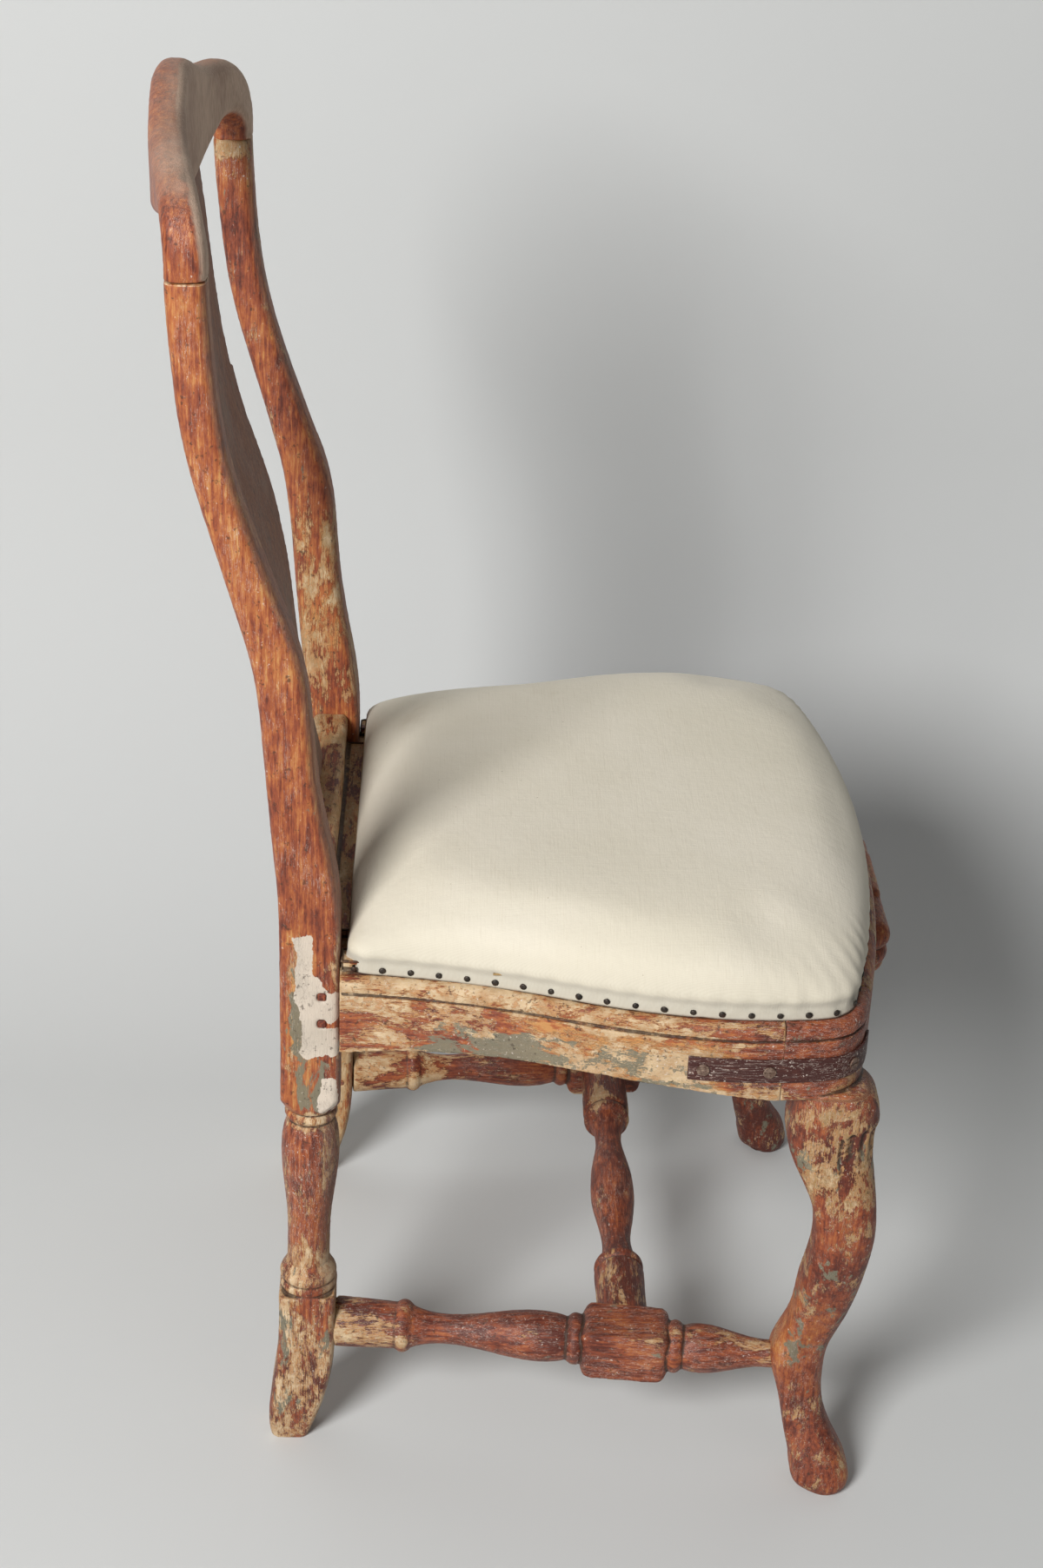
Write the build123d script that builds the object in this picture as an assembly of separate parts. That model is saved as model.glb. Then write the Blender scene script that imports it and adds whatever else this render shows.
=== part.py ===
"""Side chair: pegged frame with turned rear legs, cabriole front legs, H stretcher and a tacked seat.

Millimetres, +Z up, front faces -Y. The origin is on the floor under the middle of the chair's box.
Every piece of the right side (-X) is built once and mirrored for the left side.
"""
import math
import os

from build123d import *

# Fits
FIT = 0.2                      # clearance around tenons, pegs and shanks
SOFT_GAP = 0.3                 # clearance of cloth and stuffing from the wood

# Seat frame
RAIL_BOTTOM = 347.0            # underside of the seat rails
RAIL_TOP = 404.0               # top of the visible moulding
BEAD_HEIGHT = 10.6             # rounded moulding at the top of the rails
BEAD_ROUND = 6.5
GROOVE_HEIGHT = 2.6            # quirk under the moulding
GROOVE_DEPTH = 2.4
LIP_HEIGHT = 9.0               # inner step that the cover is tacked on
LIP_INSET = 9.0
RAIL_THICKNESS = 27.0
RAIL_ARCH = 9.0                # rise of the rails' underside in the middle
ARCH_MARGIN = 8.0              # plain ends of the arched underside

# Seat outline, a chain of tangent arcs from the back post to the middle of the front
SEAT_BACK = 130.5              # front face of the back posts
SEAT_BACK_HALF = 190.5         # half width of the seat at the back posts
SIDE_HEADING = 2.5             # degrees that the rail points outward at the back post
HOLLOW_RADIUS = 560.0          # hollow sweep of the side rail
HOLLOW_TURN = 15.5
FLARE_RADIUS = 450.0           # first part of the swelling
FLARE_TURN = 12.0
CHEEK_RADIUS = 280.0           # swelling beside the front leg
CHEEK_TURN = 16.0
CORNER_RADIUS = 34.0           # rounded front corner
CORNER_TURN = 65.0

# Front legs
BLOCK_DEPTH = 56.0             # leg block along the side rail
BLOCK_WIDTH = 50.0             # leg block along the front rail
KNEE_OVERLAP = 3.0             # knee carved up into the block
LEG_FORWARD = 10.0             # leg axis in front of the block's middle
LEG_INWARD = 5.0               # leg axis towards the middle plane from the block's middle
LEG_STATIONS = [               # height, distance outward, distance forward, side of the section
    (306.0, 2.0, 2.0, 59.0),
    (281.0, 7.5, 6.5, 52.0),
    (262.0, 13.5, 12.5, 45.0),
    (226.0, 15.5, 16.5, 40.0),
    (172.0, 3.5, 11.0, 40.0),
    (114.0, -12.0, -0.5, 37.0),
    (82.0, -13.5, 0.5, 33.0),
    (54.0, -8.0, 6.0, 31.0),
    (34.0, -1.0, 13.0, 36.0),
    (18.0, 4.0, 18.5, 41.0),
    (7.0, 5.5, 19.5, 41.0),
    (0.0, 5.0, 19.0, 34.0),
]
KNEE_SIDE = 48.0               # section inside the block
SECTION_ROUND = 0.36           # corner radius as a part of a leg section's side

# Back posts with rear legs
POST_X = 161.0                 # axis of the rear leg
POST_WIDTH = 40.0              # square block at the seat
POST_DEPTH = 40.0
POST_ROUND = 5.0
BLOCK_LOW = 288.0              # lower end of the block
BLOCK_HIGH = 428.0             # upper end of the block
POST_OVERLAP = 20.0            # straight start of the curved post
BACK_CURVE = [                 # height, rear face, depth, width, axis in X
    (520.0, 177.2, 34.4, 35.0, 163.5),
    (580.0, 181.5, 32.6, 32.5, 165.0),
    (625.0, 187.5, 32.0, 31.0, 166.0),
    (663.0, 197.5, 29.0, 30.0, 167.0),
    (700.0, 208.2, 27.0, 29.5, 168.0),
    (745.0, 220.8, 25.8, 29.0, 169.0),
    (785.0, 228.0, 25.2, 28.6, 169.5),
    (825.0, 231.8, 25.2, 28.3, 169.8),
]
CREST_JOINT = 866.0            # top of the posts
POST_TOP_REAR = 234.0
POST_TOP_DEPTH = 25.5
POST_TOP_WIDTH = 28.0
POST_TOP_X = 170.0
POST_TOP_ROUND = 8.0
LEG_RAKE = 1.0                 # degrees that the turned leg leans back towards the floor
FOOT_TOP = 132.0               # top of the foot block
FOOT_SIDE = 40.0
FOOT_ROUND = 5.5
FOOT_STATIONS = [              # height, side, how far the block runs back from the leg's axis
    (FOOT_TOP, FOOT_SIDE, 0.0),
    (88.0, FOOT_SIDE, 0.0),
    (52.0, FOOT_SIDE, 3.5),
    (20.0, 34.0, 9.0),
    (0.0, 26.0, 11.0),
]
BLOCK_CONE = 18.8              # radius where the turned cone trims the block's lower corners
BLOCK_CONE_SLOPE = 0.6
TURN_BURY = 5.0                # turned part runs on into the blocks at both ends
TURN_RING = 19.8               # radius of the double ring above the foot block
TURN_RING_HEIGHT = 8.5         # height of each ring
TURN_GROOVE = 18.2             # radius of the grooves beside the rings
TURN_NECK = 14.6
TURN_NECK_RISE = 7.0           # cone from the rings to the neck
TURN_NECK_LENGTH = 20.0        # straight part of the neck
TURN_SWELL = 20.2
TURN_SWELL_DROP = 42.0         # widest place below the block
TURN_COLLAR = 18.4             # bead under the block
TURN_COLLAR_NECK = 15.4        # radius beside the bead
TURN_COLLAR_DROP = 10.0        # lower end of the bead below the block
TURN_COLLAR_HEIGHT = 7.0

# Crest rail
CREST_TOP = 952.0              # top of the hump
CREST_UNDER = 868.0            # underside at the middle
CREST_BOW = 23.5               # how far the middle stands behind the ends
CREST_MIDDLE = 22.0            # thickness at the middle
CREST_ROUND = 0.42             # edge radius as a part of the thickness
CREST_BLEND = 3.0              # how quickly the edge radius changes from the ends towards the middle
CREST_STATIONS = [             # outer point x, share of the rise from joint to top, and inner point x, z
    (184.5, 20.0 / 86.0, 155.0, 876.0),
    (176.0, 40.0 / 86.0, 147.0, 884.0),
    (156.0, 54.0 / 86.0, 136.0, 888.0),
    (126.0, 61.5 / 86.0, 119.0, 887.0),
    (88.0, 66.5 / 86.0, 88.0, 879.0),
    (45.0, 78.0 / 86.0, 46.0, 871.0),
]

# Splat, shoe and rear rail
SPLAT_THICKNESS = 10.0
SPLAT_CURVE = [                # height and front face between the shoe and the crest
    (500.0, 162.5),
    (560.0, 170.5),
    (629.0, 184.5),
    (678.0, 199.0),
    (742.0, 215.5),
    (803.0, 225.0),
]
SPLAT_FOOT_FRONT = 154.0       # front face at the shoe
SPLAT_TOP_FRONT = 236.5        # front face at the crest
SPLAT_OUTLINE = [(60.0, 462.0), (33.0, 510.0), (46.0, 580.0), (70.0, 660.0), (61.0, 716.0)]
SPLAT_FOOT_HALF = 66.0
SPLAT_NECK_HALF = 52.0
SPLAT_RIM_HALF = 60.0
SPLAT_RIM_HEIGHT = 738.0
SPLAT_RIM_STEP = 3.0           # height of the notch above the rim
SPLAT_TOP_HALF = 70.0
SPLAT_LAP = 4.0                # board runs on behind the crest's underside before it is scribed
SPLAT_NECK_LEAN = 0.1          # sideways lean of the outline over the notch
SPLAT_TOP_LEAN = 0.5           # sideways lean of the outline at the crest
TONGUE_THICKNESS = 7.0
TONGUE_HEIGHT = 9.0
TONGUE_LAP = 4.0               # tongues start inside the splat
TONGUE_SHOULDER = 8.0          # tongue narrower than the splat at each side
SHOE_HEIGHT = 14.0
SHOE_DEPTH = 27.0
SHOE_ROUND = 5.0
REAR_RAIL_TOP = 422.0
REAR_RAIL_FRONT = 139.0
REAR_RAIL_THICKNESS = 26.0
LEDGE_DEPTH = 30.0             # step in front of the rear rail that carries the webbing
LEDGE_HEIGHT = 36.0

# Joinery
TENON_THICKNESS = 10.0
TENON_HEIGHT = 40.0
TENON_SHOULDER = 6.0           # height of the tenon's lower end above the rail's underside
TENON_OUT = 8.0                # side rail's rear tenon outward from the rear leg's axis
SIDE_TENON = 22.0
REAR_TENON = 17.0
CREST_TENON = 24.0
PEG_SIDE = 5.6                 # square pegs
PEG_MARGIN = 12.0              # peg axis from the joint face
PEG_SPACING = 21.0
PEG_PAST = 1.0                 # pegs run on past the tenon
PEG_SUNK = 2.0                 # crest pegs end inside the rounded back
DOWEL = 5.0                    # diameter of the stretchers' round pegs
REAR_DOWEL = 30.0              # round peg in the rear leg
FRONT_DOWEL = 26.5             # round peg in the front leg
CROSS_DOWEL = 28.0             # round peg in the stretcher's block
ROUND_TENON = 15.0
ROUND_TENON_LENGTH = 18.0
TENON_ROOT = 12.0              # start of a round tenon inside its own stretcher

# Stretchers
STRETCHER_HEIGHT = 98.0
CROSS_Y = -73.5
SCRIBE = 10.0                  # stretchers are scribed over the front leg, down to this far from its axis
STRETCH_BLOCK = 38.0           # square block of the side stretchers
STRETCH_BLOCK_LENGTH = 62.0
STRETCH_BLOCK_ROUND = 7.0
STRETCH_BLOCK_LAP = 1.0        # turned rings run into the block
STRETCH_BUTT = 17.7            # radius at the rear leg
STRETCH_BUTT_END = 16.3        # radius of the butt at its ring
STRETCH_BUTT_LENGTH = 44.0
STRETCH_RING = 18.6            # rings
STRETCH_RING_LENGTH = 11.0
STRETCH_GROOVE = 15.2          # radius beside the rings
STRETCH_THIN = 12.2            # thinnest place behind the block
STRETCH_THIN_PLACE = 9.0       # from the rear ring
STRETCH_SWELL = 18.0
STRETCH_SWELL_PLACE = 26.0     # behind the block's ring
STRETCH_KNOP = 17.2            # short swelling in front of the block
STRETCH_KNOP_PLACE = 12.0      # in front of the block's ring
STRETCH_NECK = 10.5            # thinnest place in front of the block
STRETCH_NECK_PLACE = 48.0
STRETCH_END = 11.6             # radius at the front leg
CROSS_BUTT = 18.2              # radius at the blocks
CROSS_BUTT_START = 104.0       # from the middle plane
CROSS_RING = 18.0
CROSS_RING_PLACE = 96.0
CROSS_RING_HALF = 5.0          # half the ring's length
CROSS_GROOVE = 14.4            # radius beside the ring
CROSS_THIN = 12.2
CROSS_THIN_PLACE = 84.0
CROSS_SWELL = 17.0

# Carved shell on the front rail
SHELL_HINGE = 383.0            # height of the ribs' common root
SHELL_RIBS = 9
SHELL_FAN = 19.5               # degrees between ribs
SHELL_SPREAD = 62.0            # sideways reach of the ribs
SHELL_DROP = 57.0              # downward reach of the ribs
SHELL_ROOT = 5.0               # rib radius at the root
SHELL_LOBE = 12.0              # rib radius at the lobe
SHELL_SINK = 1.8               # rib axis in front of the rail's face
SHELL_ROLL = 6.5               # roll over the root
SHELL_ROLL_HALF = 26.0
SHELL_HANG = 8.0               # back of the shell under the rail, behind the rail's face
ARCH_INNER = 57.0              # start of the front rail's arches beside the shell

# Upholstery
WEB_WIDTH = 52.0
WEB_THICKNESS = 1.6
WEB_COUNT = 4
WEB_PITCH = 76.0
WEB_INSET = 12.0
WEB_BACK = 126.0               # rear ends of the lengthwise bands
WEB_FIRST_Y = 80.0             # rearmost crosswise band
WEB_TACK_INSET = 15.5
WEB_TACK_SPREAD = 14.0
WEB_TACK_REAR = 118.0          # rear tacks of the lengthwise bands
HESSIAN_THICKNESS = 0.8
HESSIAN_INSET = 19.5
COVER_THICKNESS = 1.2
CUSHION_CORNER = 16.0          # rear corners in plan
CUSHION_SETBACK = 17.5         # start of the rear corner in front of the posts
CUSHION_MIDDLE = -55.0         # centre of the crown in Y
SEAT_CROWN = 455.0
CUSHION_STATIONS = [           # height above the lip, outward growth of the outline
    (9.0, 4.0),
    (17.0, 4.5),
]
CROWN_STATIONS = [             # plan scale, part of the crown's height
    (0.965, 0.61),
    (0.92, 0.73),
    (0.79, 0.855),
    (0.6, 0.94),
    (0.36, 0.985),
    (0.1, 1.0),
]
CROWN_SPLIT = 1                # number of the crown station where the side's surface meets the cap's

# Tacks, strap and screws
TACK_HEAD = 2.2
TACK_HEAD_HEIGHT = 0.9
TACK_SHANK = 0.7
TACK_LENGTH = 7.0
TACK_COUNT = 30                # on each half of the outline
TACK_END = 9.0                 # first tack from the back post
TACK_HEIGHT = 4.0              # tack line above the top of the moulding
TACK_OFF = 0.05                # heads clear of the cloth
STRAP_THICKNESS = 2.0
STRAP_WIDTH = 18.0
STRAP_CENTRE = 371.0
STRAP_BACK = -97.0             # rear end of the strap on the side rail
STRAP_FRONT = 200.0            # end of the strap on the front, from the middle plane
SCREW_HEAD = 4.3
SCREW_HEAD_HEIGHT = 1.3
SCREW_SLOT = 1.0
SCREW_SHANK = 2.0
SCREW_LENGTH = 13.0
SCREW_PLACES = (-107.0, -150.0)   # screws on the side, in Y; the third is on the corner

# Values worked out from the sizes above
LIP_TOP = RAIL_TOP + LIP_HEIGHT
GROOVE_TOP = RAIL_TOP - BEAD_HEIGHT
GROOVE_LOW = GROOVE_TOP - GROOVE_HEIGHT
POST_BACK = SEAT_BACK + POST_DEPTH
POST_Y = SEAT_BACK + POST_DEPTH / 2
POST_INNER = POST_X - POST_WIDTH / 2
POST_OUTER = POST_X + POST_WIDTH / 2
TENON_LOW = RAIL_BOTTOM + TENON_SHOULDER
TENON_MIDDLE = TENON_LOW + TENON_HEIGHT / 2
SIDE_TENON_X = -(POST_X + TENON_OUT)
COVER_INSET = LIP_INSET - SOFT_GAP - COVER_THICKNESS
WEB_LOW = LIP_TOP
CROSS_WEB_LOW = WEB_LOW + WEB_THICKNESS + SOFT_GAP
HESSIAN_LOW = CROSS_WEB_LOW + WEB_THICKNESS + SOFT_GAP
STUFFING_LOW = HESSIAN_LOW + HESSIAN_THICKNESS + SOFT_GAP
REAR_RAIL_Y = REAR_RAIL_FRONT + REAR_RAIL_THICKNESS / 2
SHOE_TOP = REAR_RAIL_TOP + SHOE_HEIGHT
FAR = 2000.0                   # reach of cutting tools
BACK_LEAD = 8.0                # straight run of the outline past the back posts' face, cut off again
SIDE_PLANE = Plane(origin=(0, 0, 0), x_dir=(0, 1, 0), z_dir=(1, 0, 0))


def block(x0, x1, y0, y1, z0, z1):
    """Box between two corners."""
    return Pos((x0 + x1) / 2, (y0 + y1) / 2, (z0 + z1) / 2) * Box(abs(x1 - x0), abs(y1 - y0), abs(z1 - z0))


def seat_edges(inset, lead, plan=1.0):
    """Right half of the seat outline, moved inward by inset, with a straight lead behind the start."""
    angle = math.radians(SIDE_HEADING)
    heading = Vector(-math.sin(angle), -math.cos(angle))
    inward = Vector(math.cos(angle), -math.sin(angle))
    middle = Vector(0, CUSHION_MIDDLE)
    start = Vector(-SEAT_BACK_HALF, SEAT_BACK) + inward * inset
    start = middle + (start - middle) * plan
    first = JernArc(start, heading, (HOLLOW_RADIUS + inset) * plan, -HOLLOW_TURN)
    second = JernArc(first @ 1, first % 1, (FLARE_RADIUS - inset) * plan, FLARE_TURN)
    third = JernArc(second @ 1, second % 1, (CHEEK_RADIUS - inset) * plan, CHEEK_TURN)
    fourth = JernArc(third @ 1, third % 1, (CORNER_RADIUS - inset) * plan, CORNER_TURN)
    rest = 90 - (FLARE_TURN + CHEEK_TURN + CORNER_TURN - HOLLOW_TURN - SIDE_HEADING)
    bow = -(fourth @ 1).X / math.sin(math.radians(rest))
    fifth = JernArc(fourth @ 1, fourth % 1, bow, rest)
    chain = [first, second, third, fourth, fifth]
    if lead > 0:
        chain.insert(0, Line(start - heading * lead, start))
    return chain


def seat_face(inset, lead=0.0):
    """Whole seat plan as a face on the floor plane."""
    half = seat_edges(inset, lead)
    other = [mirror(edge, Plane.YZ) for edge in half]
    back = Line(half[0] @ 0, other[0] @ 0)
    return make_face(half + other + [back])


OUTLINE = seat_edges(0.0, 0.0)
CORNER_ARC = OUTLINE[3]
FRONT_ARC = OUTLINE[4]
SEAT_FRONT = (FRONT_ARC @ 1).Y
SIDE_JOINT = (CORNER_ARC @ 1).Y + BLOCK_DEPTH
FRONT_JOINT = -(CORNER_ARC @ 0).X - BLOCK_WIDTH
BLOCK_X = -(FRONT_JOINT + BLOCK_WIDTH / 2)
BLOCK_Y = SIDE_JOINT - BLOCK_DEPTH / 2
LEG_X = BLOCK_X + LEG_INWARD
LEG_Y = BLOCK_Y - LEG_FORWARD


def layer(inset, low, high, lead=0.0):
    """Slab of the seat plan between two heights."""
    return Pos(0, 0, low) * extrude(seat_face(inset, lead), amount=high - low)


def moulded_slab():
    """Seat plan with the rails' outer profile: face, quirk, rounded moulding and tacking step."""
    lower = layer(0.0, RAIL_BOTTOM, GROOVE_LOW, BACK_LEAD)
    quirk = layer(GROOVE_DEPTH, GROOVE_LOW, GROOVE_TOP, BACK_LEAD)
    bead = layer(0.0, GROOVE_TOP, RAIL_TOP, BACK_LEAD)
    rim = [e for e in bead.edges().group_by(Axis.Z)[-1] if e.center().Y < SEAT_BACK + 0.9 * BACK_LEAD]
    bead = fillet(rim, BEAD_ROUND)
    lip = layer(LIP_INSET, RAIL_TOP, LIP_TOP, BACK_LEAD)
    return lower + quirk + bead + lip


def peg_along_x(x0, x1, y, z, grow=0.0):
    """Square peg that runs along X."""
    half = PEG_SIDE / 2 + grow
    return block(x0, x1, y - half, y + half, z - half, z + half)


def peg_along_y(y0, y1, x, z, grow=0.0):
    """Square peg that runs along Y."""
    half = PEG_SIDE / 2 + grow
    return block(x - half, x + half, y0, y1, z - half, z + half)



def side_back_tenon(grow=0.0):
    """Tenon of the right side rail in the back post."""
    half = TENON_THICKNESS / 2 + grow
    return block(SIDE_TENON_X - half, SIDE_TENON_X + half, SEAT_BACK, SEAT_BACK + SIDE_TENON + grow,
                 TENON_LOW - grow, TENON_LOW + TENON_HEIGHT + grow)


def side_front_tenon(grow=0.0):
    """Tenon of the right side rail in the front leg."""
    half = TENON_THICKNESS / 2 + grow
    x = BLOCK_X - TENON_THICKNESS / 2
    return block(x - half, x + half, SIDE_JOINT, SIDE_JOINT - SIDE_TENON - grow,
                 TENON_LOW - grow, TENON_LOW + TENON_HEIGHT + grow)


def front_tenon(grow=0.0):
    """Tenon of the front rail in the right front leg."""
    half = TENON_THICKNESS / 2 + grow
    y = SIDE_JOINT - SIDE_TENON - 2 * TENON_THICKNESS
    return block(-FRONT_JOINT, -FRONT_JOINT - SIDE_TENON - grow, y - half, y + half,
                 TENON_LOW - grow, TENON_LOW + TENON_HEIGHT + grow)


def rear_tenon(grow=0.0):
    """Tenon of the rear rail in the right back post."""
    half = TENON_THICKNESS / 2 + grow
    return block(-POST_INNER, -POST_INNER - REAR_TENON - grow, REAR_RAIL_Y - half, REAR_RAIL_Y + half,
                 TENON_LOW - grow, TENON_LOW + TENON_HEIGHT + grow)


def crest_tenon(grow=0.0):
    """Tenon on top of the right back post."""
    half = TENON_THICKNESS / 2 + grow
    y = POST_TOP_REAR - POST_TOP_DEPTH / 2
    return block(-POST_TOP_X - half, -POST_TOP_X + half, y - half, y + half,
                 CREST_JOINT, CREST_JOINT + CREST_TENON + grow)


def rail_pegs(grow=0.0):
    """Square pegs of the right back post: two from the side, two from behind."""
    pegs = []
    for height in (TENON_MIDDLE - PEG_SPACING / 2, TENON_MIDDLE + PEG_SPACING / 2):
        inner = SIDE_TENON_X + TENON_THICKNESS / 2 + PEG_PAST
        pegs.append(peg_along_x(-POST_OUTER, inner, SEAT_BACK + PEG_MARGIN, height, grow))
    for height in (TENON_MIDDLE - PEG_SPACING / 2, TENON_MIDDLE + PEG_SPACING / 2):
        front = REAR_RAIL_Y - TENON_THICKNESS / 2 - PEG_PAST
        pegs.append(peg_along_y(front, POST_BACK, -POST_INNER - REAR_TENON / 2, height, grow))
    return pegs


def leg_pegs(grow=0.0):
    """Square pegs of the right front leg, driven from its inner faces."""
    side_x = BLOCK_X - TENON_THICKNESS - PEG_PAST
    side = peg_along_x(-FRONT_JOINT, side_x, SIDE_JOINT - PEG_MARGIN, TENON_MIDDLE - PEG_SPACING / 2, grow)
    front_y = SIDE_JOINT - SIDE_TENON - 2 * TENON_THICKNESS - TENON_THICKNESS / 2 - PEG_PAST
    front_x = -FRONT_JOINT - PEG_MARGIN
    front = peg_along_y(front_y, SIDE_JOINT, front_x, TENON_MIDDLE + PEG_SPACING / 2, grow)
    return [side, front]


def crest_peg(grow=0.0):
    """Square peg of the right crest joint, driven from behind."""
    front = POST_TOP_REAR - POST_TOP_DEPTH / 2 - TENON_THICKNESS / 2 - PEG_PAST
    return peg_along_y(front, POST_TOP_REAR - PEG_SUNK, -POST_TOP_X, CREST_JOINT + PEG_MARGIN, grow)


def leg_axis_y(z):
    """Y of the raked rear leg's axis at a height."""
    return POST_Y + (BLOCK_LOW - z) * math.tan(math.radians(LEG_RAKE))


def leg_section(z, outward_by, forward_by, side):
    """Rounded square section of the right front leg, moved outward and forward."""
    place = Pos(LEG_X - outward_by, LEG_Y - forward_by, z)
    return place * RectangleRounded(side, side, side * SECTION_ROUND)


def front_leg_axis(z):
    """Point on the right front leg's axis between two stations."""
    for upper, lower in zip(LEG_STATIONS, LEG_STATIONS[1:]):
        if lower[0] <= z <= upper[0]:
            share = (z - lower[0]) / (upper[0] - lower[0])
            outward_by = lower[1] + (upper[1] - lower[1]) * share
            forward_by = lower[2] + (upper[2] - lower[2]) * share
            return Vector(LEG_X - outward_by, LEG_Y - forward_by, z)
    raise ValueError("height outside the leg")


STRETCH_BACK = Vector(-POST_X, leg_axis_y(STRETCHER_HEIGHT) - FOOT_SIDE / 2, STRETCHER_HEIGHT)
STRETCH_FRONT = front_leg_axis(STRETCHER_HEIGHT)
STRETCH_LINE = (STRETCH_FRONT - STRETCH_BACK).normalized()
STRETCH_LENGTH = (STRETCH_FRONT - STRETCH_BACK).length - SCRIBE
STRETCH_PLANE = Plane(origin=STRETCH_BACK, x_dir=(0, 0, 1), z_dir=STRETCH_LINE)
CROSS_T = (STRETCH_BACK.Y - CROSS_Y) / -STRETCH_LINE.Y
CROSS_END = -(STRETCH_BACK.X + STRETCH_LINE.X * CROSS_T) - STRETCH_BLOCK / 2


def round_tenons(grow=0.0):
    """Round tenons at both ends of the right side stretcher."""
    radius = ROUND_TENON / 2 + grow
    reach = TENON_ROOT + ROUND_TENON_LENGTH + grow
    back = STRETCH_PLANE * Pos(0, 0, TENON_ROOT - reach / 2) * Cylinder(radius, reach)
    front = STRETCH_PLANE * Pos(0, 0, STRETCH_LENGTH - TENON_ROOT + reach / 2) * Cylinder(radius, reach)
    return back, front


def cross_tenon(grow=0.0):
    """Round tenon at the right end of the cross stretcher."""
    reach = TENON_ROOT + ROUND_TENON_LENGTH + grow
    middle = Pos(-CROSS_END + TENON_ROOT - reach / 2, CROSS_Y, STRETCHER_HEIGHT)
    return middle * Rot(0, 90, 0) * Cylinder(ROUND_TENON / 2 + grow, reach)


def stretcher_pegs(grow=0.0):
    """Round pegs of the right side: rear leg, front leg and stretcher block."""
    radius = DOWEL / 2 + grow
    back_y = STRETCH_BACK.Y + ROUND_TENON_LENGTH / 2
    back_place = Pos(-POST_INNER - REAR_DOWEL / 2, back_y, STRETCHER_HEIGHT)
    back = back_place * Rot(0, 90, 0) * Cylinder(radius, REAR_DOWEL)
    tip = STRETCH_BACK + STRETCH_LINE * (STRETCH_LENGTH + ROUND_TENON_LENGTH / 2)
    start = tip.X - ROUND_TENON / 2 - PEG_PAST
    front = Pos(start + FRONT_DOWEL / 2, tip.Y, tip.Z) * Rot(0, 90, 0) * Cylinder(radius, FRONT_DOWEL)
    under = STRETCHER_HEIGHT - STRETCH_BLOCK / 2
    cross_place = Pos(-CROSS_END - ROUND_TENON_LENGTH / 2, CROSS_Y, under + CROSS_DOWEL / 2)
    cross = cross_place * Cylinder(radius, CROSS_DOWEL)
    return [back, front, cross]


def turned_rear_leg():
    """Turned part of the rear leg about Z, from the block down to the foot block."""
    top = BLOCK_LOW + TURN_BURY
    low = FOOT_TOP - TURN_BURY
    ring = FOOT_TOP + TURN_RING_HEIGHT
    cone = ring + TURN_RING_HEIGHT
    neck = cone + TURN_NECK_RISE
    swell = BLOCK_LOW - TURN_SWELL_DROP
    bead = BLOCK_LOW - TURN_COLLAR_DROP
    bead_top = bead + TURN_COLLAR_HEIGHT
    with BuildPart() as leg:
        with BuildSketch(Plane.XZ):
            with BuildLine():
                l1 = Polyline((0, low), (TURN_GROOVE, low), (TURN_GROOVE, FOOT_TOP))
                l2 = ThreePointArc(l1 @ 1, (TURN_RING, (FOOT_TOP + ring) / 2), (TURN_GROOVE, ring))
                l3 = ThreePointArc(l2 @ 1, (TURN_RING, (ring + cone) / 2), (TURN_GROOVE, cone))
                l4 = Line(l3 @ 1, (TURN_NECK, neck))
                l5 = Line(l4 @ 1, (TURN_NECK, neck + TURN_NECK_LENGTH))
                l6 = Spline(l5 @ 1, (TURN_SWELL, swell), (TURN_COLLAR_NECK, bead),
                            tangents=((0, 1), (-1, 2)))
                bulge = (TURN_COLLAR, (bead + bead_top) / 2)
                l7 = ThreePointArc(l6 @ 1, bulge, (TURN_COLLAR_NECK, bead_top))
                l8 = Polyline(l7 @ 1, (TURN_COLLAR_NECK, top), (0, top))
                Line(l8 @ 1, (0, low))
            make_face()
        revolve(axis=Axis.Z)
    return leg.part


def rear_foot_sections():
    """Sections of the right rear foot block, square at the stretcher and kicked back to the floor."""
    sections = []
    for z, side, back in FOOT_STATIONS:
        place = Pos(-POST_X, leg_axis_y(z) + back, z)
        sections.append(place * RectangleRounded(side, side, FOOT_ROUND))
    return sections


def right_back_post():
    """Right back post with its rear leg, before mirroring."""
    square_end = RectangleRounded(POST_WIDTH, POST_DEPTH, POST_ROUND)
    sections = [Pos(-POST_X, POST_Y, z) * square_end for z in (BLOCK_HIGH - POST_OVERLAP, BLOCK_HIGH)]
    for z, rear, depth, width, x in BACK_CURVE:
        sections.append(Pos(-x, rear - depth / 2, z) * RectangleRounded(width, depth, POST_TOP_ROUND))
    top = Pos(-POST_TOP_X, POST_TOP_REAR - POST_TOP_DEPTH / 2, CREST_JOINT)
    sections.append(top * RectangleRounded(POST_TOP_WIDTH, POST_TOP_DEPTH, POST_TOP_ROUND))
    upper = loft(sections)
    square = block(-POST_OUTER, -POST_INNER, SEAT_BACK, POST_BACK, BLOCK_LOW, BLOCK_HIGH - POST_OVERLAP)
    square = fillet(square.edges().filter_by(Axis.Z), POST_ROUND)
    trim = Cone(BLOCK_CONE, BLOCK_CONE + FAR * BLOCK_CONE_SLOPE, FAR)
    square = square & Pos(-POST_X, POST_Y, BLOCK_LOW + FAR / 2) * trim
    rake = Pos(-POST_X, POST_Y, BLOCK_LOW) * Rot(LEG_RAKE, 0, 0) * Pos(0, 0, -BLOCK_LOW)
    turned = rake * turned_rear_leg()
    post = upper + square + turned + REAR_FOOT + crest_tenon()
    post -= side_back_tenon(FIT)
    post -= rear_tenon(FIT)
    post -= round_tenons(FIT)[0]
    for peg in rail_pegs(FIT):
        post -= peg
    post -= stretcher_pegs(FIT)[0]
    return post - crest_peg(FIT)


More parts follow.
